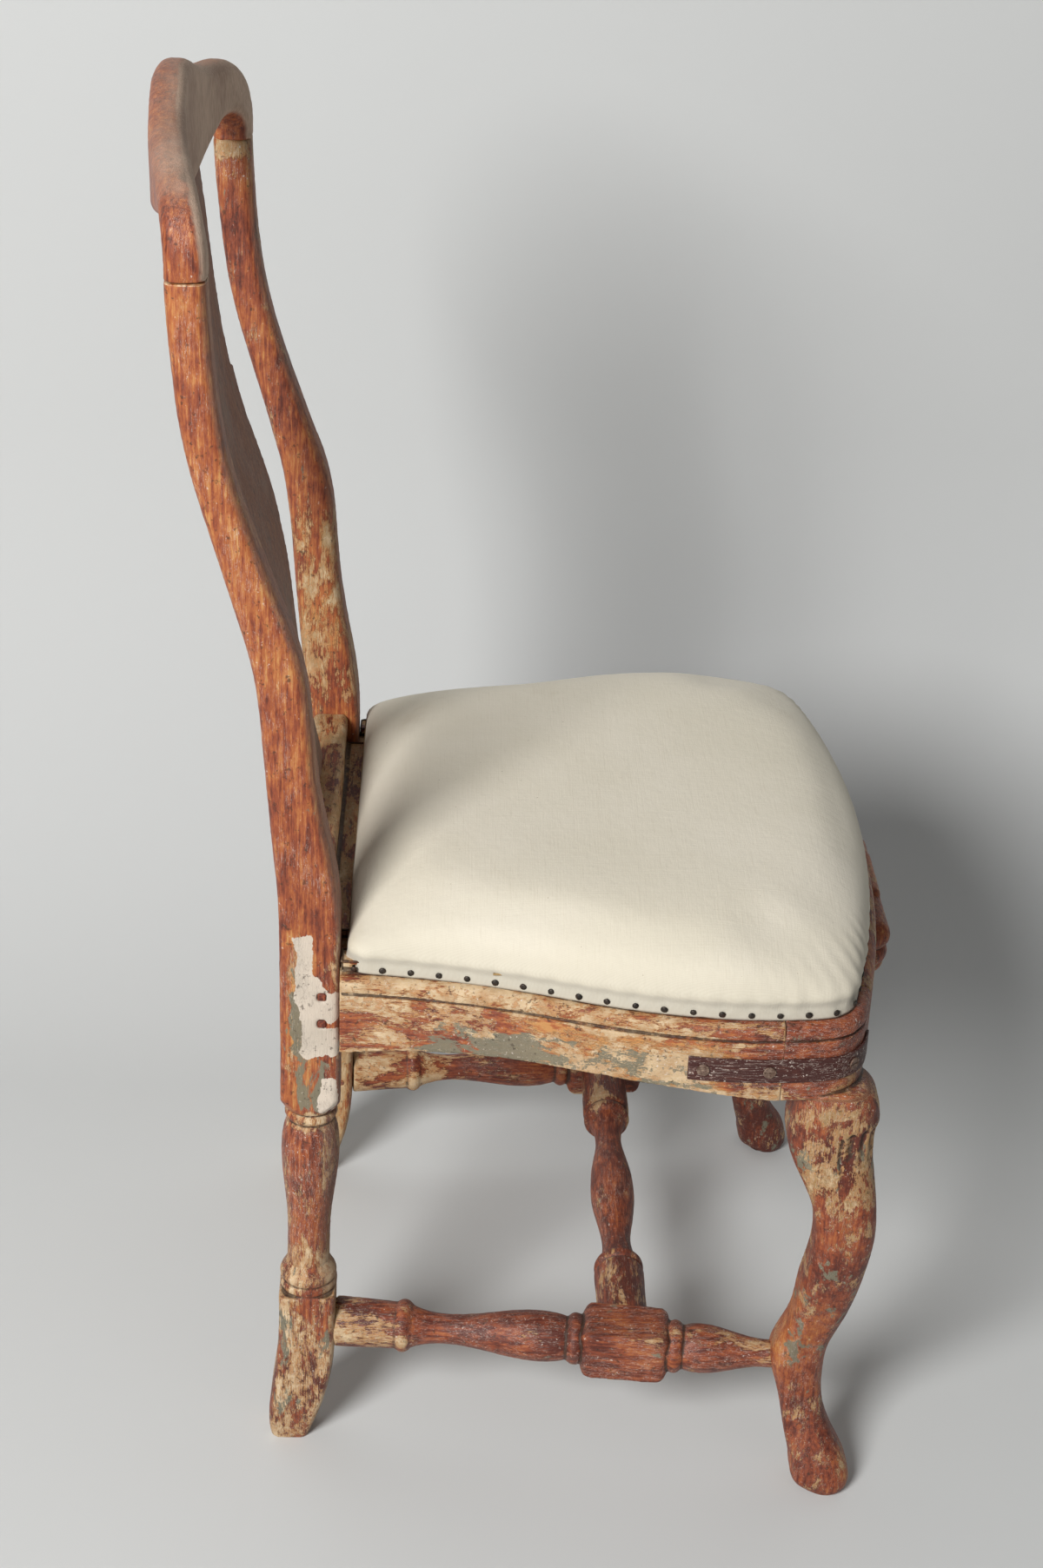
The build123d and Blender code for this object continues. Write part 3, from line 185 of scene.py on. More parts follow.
def join_rings(work, rings):
    """Quads between each closed ring of points and the next."""
    for low, high in zip(rings, rings[1:]):
        for k in range(len(low)):
            m = (k + 1) % len(low)
            work.faces.new((low[k], low[m], high[m], high[k]))


def even_skin(lent, voxel):
    """New mesh of even quads over an object, which is then removed."""
    remesh = lent.modifiers.new("voxels", "REMESH")
    remesh.mode = "VOXEL"
    remesh.voxel_size = voxel
    seen = bpy.context.evaluated_depsgraph_get()
    skin = bpy.data.meshes.new_from_object(lent.evaluated_get(seen))
    bpy.data.objects.remove(lent)
    return skin


def voxel_skin(node, voxel):
    """Even quad skin over a CAD node, as a new mesh."""
    source = NODES[node].data.copy()
    work = welded(source)
    work.to_mesh(source)
    work.free()
    skin = even_skin(new_object("lent_" + node, source), voxel)
    skin.materials.clear()
    return skin


print("largest CAD mesh:", max(len(piece.data.polygons) for piece in NODES.values()), "faces")

# %% [markdown]
# ## Camera, floor and light
# The camera stands beside the chair, above it, and is turned a little about its own axis, as a
# hand-held one is. A grey paper sweep runs up close behind the chair, so the back's soft shadow falls
# on it. The paper shows on its front face only, so the chair can be looked at from all sides. One
# large lamp on the camera's left gives nearly all of the light, at a level where a colour looks about
# as it is written.

# %% Camera
CAMERA_PLACE = Vector((-1.64809, 0.0685, 1.30901))
CAMERA_RIGHT = Vector((-0.0177367, -0.99923362, 0.03489401))
CAMERA_UP = Vector((0.46174548, 0.02276883, 0.88672019))
LENS_MM = 59.87
SENSOR_MM = 36.0

lens = bpy.data.cameras.new("side_view")
lens.sensor_fit = "VERTICAL"
lens.sensor_height = SENSOR_MM
lens.lens = LENS_MM
camera = bpy.data.objects.new("side_view", lens)
back = CAMERA_RIGHT.cross(CAMERA_UP)
turned = Matrix((CAMERA_RIGHT, CAMERA_UP, back)).transposed()
camera.matrix_world = Matrix.Translation(CAMERA_PLACE) @ turned.to_4x4()
SCENE.collection.objects.link(camera)
SCENE.camera = camera
SCENE.view_settings.view_transform = "Standard"
print("camera at", [round(x, 3) for x in camera.location])

# %% Colours
def srgb(red, green, blue):
    """Colour as seen on a screen, 0 to 255, turned into light values."""
    light = []
    for part in (red, green, blue):
        part = part / 255.0
        light.append(part / 12.92 if part <= 0.04045 else ((part + 0.055) / 1.055) ** 2.4)
    return (*light, 1.0)


print("a middle grey of 128 is", round(srgb(128, 128, 128)[0], 4), "as light")

# %% Paper sweep
PAPER_NEAR = -4.0
PAPER_REACH = 0.28
PAPER_BEND = 0.45
PAPER_BEND_STEPS = 16
PAPER_HEIGHT = 3.2
PAPER_HALF_WIDTH = 5.0


def paper_sweep():
    """Floor that curves up into a backdrop behind the chair, seen from the camera's side."""
    mesh = bpy.data.meshes.new("paper_sweep")
    line = [(PAPER_NEAR, 0.0), (PAPER_REACH, 0.0)]
    for step in range(1, PAPER_BEND_STEPS + 1):
        angle = math.radians(90 * step / PAPER_BEND_STEPS)
        out = PAPER_REACH + PAPER_BEND * math.sin(angle)
        line.append((out, PAPER_BEND - PAPER_BEND * math.cos(angle)))
    line.append((PAPER_REACH + PAPER_BEND, PAPER_HEIGHT))
    verts = [(x, y, z) for x, z in line for y in (-PAPER_HALF_WIDTH, PAPER_HALF_WIDTH)]
    faces = [(2 * k, 2 * k + 2, 2 * k + 3, 2 * k + 1) for k in range(len(line) - 1)]
    mesh.from_pydata(verts, [], faces)
    shade_smooth(mesh)
    return new_object("paper_sweep", mesh)


def paper_material():
    """Grey paper that is clear from behind and below, so that the chair shows from every side."""
    made = bpy.data.materials.new("grey_paper")
    made.use_nodes = True
    tree = made.node_tree
    shader = tree.nodes["Principled BSDF"]
    shader.inputs["Roughness"].default_value = 0.9
    shader.inputs["Specular IOR Level"].default_value = 0.2
    grain = tree.nodes.new("ShaderNodeTexNoise")
    grain.inputs["Scale"].default_value = 3.0
    ramp = tree.nodes.new("ShaderNodeValToRGB")
    ramp.color_ramp.elements[0].color = srgb(207, 208, 207)
    ramp.color_ramp.elements[1].color = srgb(213, 214, 213)
    tree.links.new(grain.outputs["Fac"], ramp.inputs["Fac"])
    tree.links.new(ramp.outputs["Color"], shader.inputs["Base Color"])
    clear = tree.nodes.new("ShaderNodeBsdfTransparent")
    side = tree.nodes.new("ShaderNodeNewGeometry")
    either = tree.nodes.new("ShaderNodeMixShader")
    tree.links.new(side.outputs["Backfacing"], either.inputs[0])
    tree.links.new(shader.outputs[0], either.inputs[1])
    tree.links.new(clear.outputs[0], either.inputs[2])
    tree.links.new(either.outputs[0], tree.nodes["Material Output"].inputs["Surface"])
    return made


sweep = paper_sweep()
sweep.data.materials.append(paper_material())
print("paper:", len(sweep.data.polygons), "strips")

# %% Lamps
def lamp(name, place, aim, size, watts, tint=(1, 1, 1)):
    """Round soft lamp at a place, aimed at a point."""
    data = bpy.data.lights.new(name, "AREA")
    data.shape = "DISK"
    data.size = size
    data.energy = watts
    data.color = tint
    made = bpy.data.objects.new(name, data)
    made.location = place
    made.rotation_euler = (Vector(aim) - Vector(place)).to_track_quat("-Z", "Y").to_euler()
    SCENE.collection.objects.link(made)


lamp("window_light", (-2.5, 1.42, 2.1), (0.1, -0.1, 0.4), 1.2, 120, (1.0, 0.998, 0.992))
lamp("front_fill", (-2.4, -1.6, 1.7), (0, 0, 0.4), 1.8, 3)
world = bpy.data.worlds.new("studio")
SCENE.world = world
world.use_nodes = True
room_light = world.node_tree.nodes["Background"]
room_light.inputs["Color"].default_value = srgb(226, 228, 230)
room_light.inputs["Strength"].default_value = 0.13

# %% [markdown]
# ## Paint that has worn through
# The real chair has a cream ground, a grey-green coat, yellow ochre and a brown-red top coat, each
# rubbed through to the next. A painted image would need a photograph of every side, so one function
# builds the stack of layers from noise. Each mask is a noise stretched along the grain or left
# blotchy, plus the edge and hollow numbers kept on the mesh's points.

# %% Node helpers
WIDEST_FADE = 0.02


class Nodes:
    """Short words for the nodes of one material."""

    def __init__(self, name):
        self.material = bpy.data.materials.new(name)
        self.material.use_nodes = True
        self.tree = self.material.node_tree
        self.shader = self.tree.nodes["Principled BSDF"]
        self.place = self.make("ShaderNodeTexCoord").outputs["Object"]

    def make(self, kind, **settings):
        node = self.tree.nodes.new(kind)
        for key, value in settings.items():
            setattr(node, key, value)
        return node

    def feed(self, socket, value):
        if isinstance(value, bpy.types.NodeSocket):
            self.tree.links.new(value, socket)
        else:
            socket.default_value = value

    def math(self, operation, a, b=0.0, clamp=False):
        node = self.make("ShaderNodeMath", operation=operation, use_clamp=clamp)
        self.feed(node.inputs[0], a)
        self.feed(node.inputs[1], b)
        return node.outputs[0]

    def plus(self, a, b):
        return self.math("ADD", a, b)

    def minus(self, a, b, clamp=False):
        return self.math("SUBTRACT", a, b, clamp)

    def times(self, a, b):
        return self.math("MULTIPLY", a, b)

    def stretched(self, scale, shift=(0, 0, 0)):
        node = self.make("ShaderNodeMapping")
        self.feed(node.inputs["Vector"], self.place)
        node.inputs["Scale"].default_value = scale
        node.inputs["Location"].default_value = shift
        return node.outputs[0]

    def noise(self, place, scale, detail=4.0, rough=0.55, bend=0.0):
        node = self.make("ShaderNodeTexNoise")
        self.feed(node.inputs["Vector"], place)
        node.inputs["Scale"].default_value = scale
        node.inputs["Detail"].default_value = detail
        node.inputs["Roughness"].default_value = rough
        node.inputs["Distortion"].default_value = bend
        return node.outputs["Fac"]

    def step(self, value, low, high):
        node = self.make("ShaderNodeMapRange", interpolation_type="SMOOTHSTEP")
        self.feed(node.inputs["Value"], value)
        node.inputs["From Min"].default_value = low
        node.inputs["From Max"].default_value = high
        return node.outputs[0]

    def mix_of(self, kind, first, share, a, b):
        """Mix node of one kind; first is the number of the socket that takes a."""
        node = self.make("ShaderNodeMix", data_type=kind)
        self.feed(node.inputs[0], share)
        self.feed(node.inputs[first], a)
        self.feed(node.inputs[first + 1], b)
        return node

    def mix(self, share, a, b):
        """Mix of two colours."""
        return self.mix_of("RGBA", 6, share, a, b).outputs[2]

    def turned(self, share, a, b):
        """Mix of two places, for grain that changes its way."""
        return self.mix_of("VECTOR", 4, share, a, b).outputs[1]

    def blend(self, share, a, b):
        """Mix of two numbers."""
        return self.mix_of("FLOAT", 2, share, a, b).outputs[0]

    def ramp(self, value, stops):
        """Colours along a value, from (place, colour) pairs."""
        node = self.make("ShaderNodeValToRGB")
        self.feed(node.inputs["Fac"], value)
        while len(node.color_ramp.elements) < len(stops):
            node.color_ramp.elements.new(0.5)
        for element, (place, colour) in zip(node.color_ramp.elements, stops):
            element.position = place
            element.color = colour
        return node.outputs["Color"]

    def threads(self, axis, scale, wander):
        """Stripes along an axis, as one way of a weave."""
        node = self.make("ShaderNodeTexWave", wave_type="BANDS", bands_direction=axis)
        self.feed(node.inputs["Vector"], self.place)
        node.inputs["Scale"].default_value = scale
        node.inputs["Distortion"].default_value = wander
        node.inputs["Detail"].default_value = 2.0
        return node.outputs["Fac"]

    def mask(self, name):
        """Number kept on the mesh's points."""
        return self.make("ShaderNodeAttribute", attribute_name=name).outputs["Fac"]

    def bump(self, height, metres, under=None):
        node = self.make("ShaderNodeBump")
        self.feed(node.inputs["Height"], height)
        node.inputs["Strength"].default_value = 1.0
        node.inputs["Distance"].default_value = metres
        if under is not None:
            self.feed(node.inputs["Normal"], under)
        return node.outputs["Normal"]

    def window(self, axis, low, high, soft, place=None):
        """1 between two places along an axis, with soft ends."""
        split = self.make("ShaderNodeSeparateXYZ")
        self.feed(split.inputs[0], place or self.place)
        along = split.outputs["XYZ".index(axis)]
        rise = self.step(along, low - soft, low + soft)
        fall = self.step(along, high - soft, high + soft)
        return self.minus(rise, fall, clamp=True)

    def patch(self, spans, soft_share, place=None):
        """1 inside a box of spans such as {"Z": (0.1, 0.2)}; its ends fade over a share of each span."""
        total = None
        for axis, (low, high) in spans.items():
            soft = min(WIDEST_FADE, soft_share * (high - low))
            here = self.window(axis, low, high, soft, place)
            total = here if total is None else self.times(total, here)
        return total


print("node helpers:", [word for word in vars(Nodes) if not word.startswith("_")])

# %% Paint colours
RED = srgb(140, 70, 44)
RED_DEEP = srgb(90, 41, 30)
ORANGE = srgb(170, 98, 54)
OCHRE = srgb(192, 138, 82)
TAN = srgb(182, 142, 100)
CREAM = srgb(214, 187, 149)
OLD_CREAM = srgb(150, 116, 70)
CHALK = srgb(214, 202, 190)
FILLER = srgb(212, 197, 180)
GREEN = srgb(130, 126, 104)
# dark brown for dirt in pits and hollows, and for the painted shadow along the lifted rims of flakes
DIRT_AND_SHADOW = srgb(56, 41, 31)
DUST = srgb(160, 140, 124)
MAROON = srgb(60, 30, 27)
OLD_GREEN = srgb(106, 104, 88)
OLD_FILLER = srgb(190, 178, 162)
CRACK = srgb(30, 22, 18)
OLD_DUST = srgb(112, 92, 78)
print("red paint as light:", [round(part, 3) for part in RED[:3]])

# %% Fields that steer the layers
GRAIN = {"X": (11, 160, 160), "Y": (160, 11, 160), "Z": (160, 160, 11)}
FLAKE = {"X": (26, 70, 70), "Y": (70, 26, 70), "Z": (70, 70, 26), "round": (78, 78, 52)}
ZONE_WOBBLE = 0.016
WOBBLES_PER_METRE = 70.0
LINE_FADE = 0.1
ZONE_FADE = 0.18
DUST_SIDE = (0, -1, 0.25)


def zone_fields(n, zones):
    """One number per layer that rises inside that layer's boxes; the boxes' edges wander."""
    drift = n.make("ShaderNodeTexNoise")
    n.feed(drift.inputs["Vector"], n.place)
    drift.inputs["Scale"].default_value = WOBBLES_PER_METRE
    drift.inputs["Detail"].default_value = 6.0
    moved = n.make("ShaderNodeVectorMath", operation="MULTIPLY_ADD")
    n.feed(moved.inputs[0], drift.outputs["Color"])
    moved.inputs[1].default_value = (ZONE_WOBBLE, ZONE_WOBBLE, ZONE_WOBBLE)
    n.feed(moved.inputs[2], n.place)
    middle = ZONE_WOBBLE / 2
    fields = {}
    for layer, spans, amount in zones:
        if layer == "line":
            here = n.times(n.patch(spans, LINE_FADE), amount)
        else:
            shifted = {axis: (low + middle, high + middle) for axis, (low, high) in spans.items()}
            here = n.times(n.patch(shifted, ZONE_FADE, moved.outputs[0]), amount)
        fields[layer] = n.plus(fields[layer], here) if layer in fields else here
    return fields


def dust_veil(n, amount, ragged):
    """Share of dust: it lies on what faces the front and a little upward."""
    facing = n.make("ShaderNodeNewGeometry").outputs["Normal"]
    aim = n.make("ShaderNodeVectorMath", operation="DOT_PRODUCT")
    n.feed(aim.inputs[0], facing)
    aim.inputs[1].default_value = DUST_SIDE
    lies = n.step(n.plus(aim.outputs["Value"], n.times(ragged, 0.35)), 0.5, 0.95)
    return n.times(lies, amount)


print("grain runs along", list(GRAIN), "and zones wander by", ZONE_WOBBLE, "m")

# %% The paint stack
BLOCK_START = 0.3468


def worn_paint(name, grain="Z", tone=0.0, cream=0.0, green=-0.06, chalk=0.0, dust=0.0, gloss=0.42,
               rub=0.12, aged=0.0, dark=0.0, seed=0.0, streaks=0.38, scores=8.0, top_grain=None,
               flakes=None, dusts=(DUST, OLD_DUST), zones=()):
    """Layers of worn paint: amounts raise a layer's share, rub bares edges, zones work inside boxes."""
    n = Nodes(name)
    # places and noises that the layers share; the leg's square block may have its own grain
    along = n.stretched(GRAIN[grain], (seed, seed * 0.7, -seed))
    lazy = n.stretched(FLAKE[flakes or grain], (-seed, seed, seed * 0.2))
    if top_grain is not None:
        above = n.window("Z", BLOCK_START, 2.0, 0.001)
        along = n.turned(above, along, n.stretched(GRAIN[top_grain], (seed, 0, 0)))
        lazy = n.turned(above, lazy, n.stretched(FLAKE[top_grain], (seed, 0, 0)))
    blot = n.stretched((1, 1, 1), (seed * 1.3, -seed, seed * 0.4))
    edge = n.mask("edge")
    hollow = n.mask("hollow")
    streak = n.noise(along, 3.0, 6, 0.62, 0.2)
    fine = n.noise(along, 9.0, 5, 0.62)
    dapple = n.noise(lazy, 2.8, 8, 0.72, 0.2)
    cloud = n.noise(blot, 17.0, 4, 0.55)
    crumbs = n.noise(blot, 420.0, 4, 0.6)
    spots = n.noise(blot, 150.0, 5, 0.65)
    zone = zone_fields(n, zones)

    def pulled(layer, field, amount):
        field = n.plus(field, amount)
        return n.plus(field, zone[layer]) if layer in zone else field

    # top coat, from deep red to ochre
    shade = n.plus(n.times(streak, streaks), n.times(dapple, 0.36))
    shade = n.plus(shade, n.times(cloud, 0.64 - streaks))
    shade = pulled("tone", shade, tone)
    paint = n.ramp(shade, ((0.40, RED_DEEP), (0.475, RED), (0.54, ORANGE), (0.61, OCHRE)))

    # flakes lost from it, with a dark line at each lifted rim that is painted shadow
    ragged = n.times(n.minus(fine, 0.5), 0.3)
    flake = n.plus(n.noise(lazy, 1.0, 10, 0.72, 0.3), ragged)
    bare = n.plus(pulled("cream", flake, cream), n.times(edge, rub))
    flake_edge_shadow = n.minus(n.step(bare, 0.525, 0.540), n.step(bare, 0.548, 0.558), clamp=True)
    paint = n.mix(n.times(flake_edge_shadow, 0.55), paint, DIRT_AND_SHADOW)
    rim_share = n.step(bare, 0.545, 0.565)
    paint = n.mix(n.times(rim_share, 0.9), paint, n.mix(streak, TAN, OCHRE))

    # grey-green coat in patches
    green_place = n.stretched(FLAKE[flakes or grain], (seed + 4, 2 - seed, seed))
    green_field = n.noise(green_place, 0.9, 9, 0.68, 0.4)
    green_share = n.step(pulled("green", green_field, green), 0.59, 0.62)
    paint = n.mix(n.times(green_share, 0.9), paint, n.mix(cloud, GREEN, OLD_GREEN))

    # cream ground, with islands of paint left on it
    islands_left = n.times(n.step(spots, 0.56, 0.60), 0.9)
    cream_share = n.minus(n.step(bare, 0.595, 0.612), islands_left, clamp=True)
    cream_coat = n.mix(n.step(n.noise(blot, 70.0, 5), 0.35, 0.7), CREAM, TAN)
    if aged > 0:
        cream_coat = n.mix(n.times(n.step(dapple, 0.3, 0.62), aged), cream_coat, OLD_CREAM)
    paint = n.mix(cream_share, paint, cream_coat)

    # filler, and the chipped line at the joint
    if "filler" in zone:
        plaster = n.step(n.plus(n.times(dapple, 0.55), zone["filler"]), 0.50, 0.54)
        paint = n.mix(plaster, paint, n.mix(n.step(cloud, 0.35, 0.65), FILLER, OLD_FILLER))
    if "line" in zone:
        chipped = n.step(n.plus(zone["line"], n.times(spots, 0.8)), 0.75, 0.95)
        paint = n.mix(chipped, paint, CREAM)

    # chalky scratches and flecks
    scratch = n.math("ABSOLUTE", n.minus(n.noise(along, scores, 3, 0.5), 0.5))
    scratch = n.minus(1.0, n.step(scratch, 0.0, 0.018))
    scratch = n.times(scratch, n.step(pulled("chalk", flake, chalk), 0.50, 0.64))
    paint = n.mix(n.times(scratch, 0.7), paint, CHALK)
    chalky = n.step(pulled("chalk", dapple, chalk), 0.52, 0.66)
    flecks = n.times(n.step(crumbs, 0.64, 0.68), chalky)
    paint = n.mix(n.times(flecks, 0.8), paint, CHALK)

    # dirt in pits and hollows, dark paint, cracks and dust
    pits = n.step(n.noise(blot, 230.0, 4, 0.65), 0.60, 0.67)
    paint = n.mix(n.times(pits, 0.65), paint, DIRT_AND_SHADOW)
    grime = n.times(n.step(hollow, 0.03, 0.32), n.step(spots, 0.25, 0.5))
    paint = n.mix(n.times(grime, 0.85), paint, DIRT_AND_SHADOW)
    if dark > 0:
        unmarked = n.step(n.plus(flecks, scratch), 0.9, 0.1)
        paint = n.mix(n.times(unmarked, dark), paint, MAROON)
    if "crack" in zone:
        paint = n.mix(n.step(zone["crack"], 0.3, 0.7), paint, CRACK)
    rough = n.blend(cream_share, gloss, 0.62)
    if dust > 0:
        veil = dust_veil(n, dust, flake)
        if "dust" in zone:
            veil = n.math("MAXIMUM", veil, zone["dust"])
        drifts = n.step(n.blend(0.5, fine, cloud), 0.38, 0.62)
        paint = n.mix(veil, paint, n.mix(drifts, *dusts))
        rough = n.blend(veil, rough, 0.75)

    # shine, and the relief of coats, grain and crumbs
    n.feed(n.shader.inputs["Base Color"], paint)
    n.feed(n.shader.inputs["Roughness"], n.plus(rough, n.times(fine, 0.10)))
    n.shader.inputs["Specular IOR Level"].default_value = 0.36
    coats = n.minus(1.0, n.blend(0.5, rim_share, cream_share))
    normal = n.bump(coats, 0.0004)
    normal = n.bump(fine, 0.0004, normal)
    normal = n.bump(spots, 0.0003, normal)
    normal = n.bump(crumbs, 0.00016, normal)
    n.feed(n.shader.inputs["Normal"], normal)
    return n.material


print("paint stack ready; the front legs' square blocks start at", BLOCK_START, "m")

# %% [markdown]
# ## The wooden frame
# Every rail, leg and stretcher keeps the CAD shape. The copies get softened edges, slow waves from
# hand work and small losses at the edges. Sculpting by hand can't be repeated by a script, so noise
# moves the points. The same points then carry two numbers: how much they stick out, where paint rubs
# off first, and how deep they lie, where dirt stays.

# %% Worn copies of the frame's pieces
FRAME_VOXEL = 0.0011
FINE_VOXEL = 0.0008
HOLLOW_CUT = 0.0005
EDGE_GAIN = 1.6
HOLLOW_GAIN = 2.0
WAVES_PER_METRE = 16
RIPPLES_PER_METRE = 45
CHIPS_PER_METRE = 90
MARKS_PER_METRE = 420


def worn_copy(node, voxel=FRAME_VOXEL, wave=0.0005, fine=0.00012, loss=0.0007,
              rounds=1, carve=None):
    """Copy of a CAD node with softened edges, hand-made waves and small losses, ready for worn paint."""
    mesh = voxel_skin(node, voxel)
    edges = edges_of(mesh)
    points = spread(points_of(mesh), edges, rounds)
    set_points(mesh, points)
    if carve is not None:
        points = points + normals_of(mesh) * carve(points)[:, None]
        set_points(mesh, points)
    normals = normals_of(mesh)
    wide = spread(points, edges, 8)
    bulge = spread(np.einsum("ij,ij->i", points - wide, normals) / voxel, edges, 2)
    edge = np.clip(bulge * EDGE_GAIN, 0, 1)
    hollow = np.clip(-bulge * HOLLOW_GAIN, 0, 1)
    chips = edge * step_up(lump_noise(points, CHIPS_PER_METRE, 3), 0.1, 0.5)
    move = wave * lump_noise(points, WAVES_PER_METRE, 1)
    move += 0.4 * wave * lump_noise(points, RIPPLES_PER_METRE, 2)
    move += fine * lump_noise(points, MARKS_PER_METRE, 4) - loss * chips - HOLLOW_CUT * hollow
    set_points(mesh, points + normals * move[:, None])
    set_mask(mesh, "edge", edge)
    set_mask(mesh, "hollow", hollow)
    shade_smooth(mesh)
    made = new_object(node + "_worn", mesh)
    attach(made, "root")
    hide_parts(node)
    return made


print("worn copies use voxels of", FINE_VOXEL, "and", FRAME_VOXEL)

# %% [markdown]
# ## Carving
# A worn shell sits on the outer front corner of each knee: a lip with a few short flutes below it. It
# is too shallow to be worth a solid in the CAD, so the points of the leg's skin are moved along their
# normals by a height that is worked out from the turn round the leg and the height on it. The rails
# and leg tops are sunk a little under the tacked cloth in the same way.

# %% Carved shells on the knees and rails under the cloth
SHELL_LIP = 0.323
SHELL_MIDDLE = math.radians(44)
SHELL_HALF_TURN = math.radians(40)
SHELL_FLUTES = 5
FLUTE_DEPTH = 0.0019
FLUTE_FLOOR = 0.0006
LIP_RISE = 0.0007
LIP_HALF_WIDTH = 0.0035
LIP_ABOVE = 0.003
LIP_DROP = 0.006
LIP_SCALLOP = 0.003
HEEL_HEIGHT = 0.016
HEEL_CUT = 0.006
CLOTH_LINE = 0.4045
CLOTH_FADE = 0.0012
UNDER_CLOTH = 0.0014
ROW_HEIGHT = 0.004
ROW_COUNT = 201


def cloth_room(points):
    """The lip under the tacked cloth lies a little lower, so that no wood shows through."""
    return -UNDER_CLOTH * step_up(points[:, 2], CLOTH_LINE, CLOTH_LINE + CLOTH_FADE)


def leg_carving(outward):
    """A shell on the outer front corner of the knee, and a heel rounded away at the foot."""
    def depth(points):
        row = np.clip((points[:, 2] / ROW_HEIGHT).astype(int), 0, ROW_COUNT - 1)
        count = np.maximum(np.bincount(row, minlength=ROW_COUNT), 1)
        middle_x = np.bincount(row, points[:, 0], ROW_COUNT) / count
        middle_y = np.bincount(row, points[:, 1], ROW_COUNT) / count
        out = (points[:, 0] - middle_x[row]) * outward
        ahead = middle_y[row] - points[:, 1]
        side = (np.arctan2(ahead, out) - SHELL_MIDDLE) / SHELL_HALF_TURN
        scallop = 0.5 + 0.5 * np.cos(side * math.pi * SHELL_FLUTES)
        below = SHELL_LIP - LIP_DROP * side ** 2 - LIP_SCALLOP * scallop - points[:, 2]
        inside = 1 - step_up(np.abs(side), 0.86, 1.0)
        hollow = step_up(below, 0.0, 0.0022) * (1 - step_up(below, 0.010, 0.040)) * inside
        lip = np.exp(-((below + LIP_ABOVE) / LIP_HALF_WIDTH) ** 2) * inside
        heel = np.clip(1 - points[:, 2] / HEEL_HEIGHT, 0, 1) ** 2 * step_up(-ahead, -0.004, 0.016)
        carved = LIP_RISE * lip - hollow * (FLUTE_FLOOR + FLUTE_DEPTH * (1 - scallop))
        return carved - HEEL_CUT * heel + cloth_room(points)
    return depth


CARVINGS = {"right_front_leg": leg_carving(-1), "left_front_leg": leg_carving(1)}
for rail in ("rear_seat_rail", "right_side_rail", "left_side_rail", "front_seat_rail"):
    CARVINGS[rail] = cloth_room
print("carved:", list(CARVINGS))

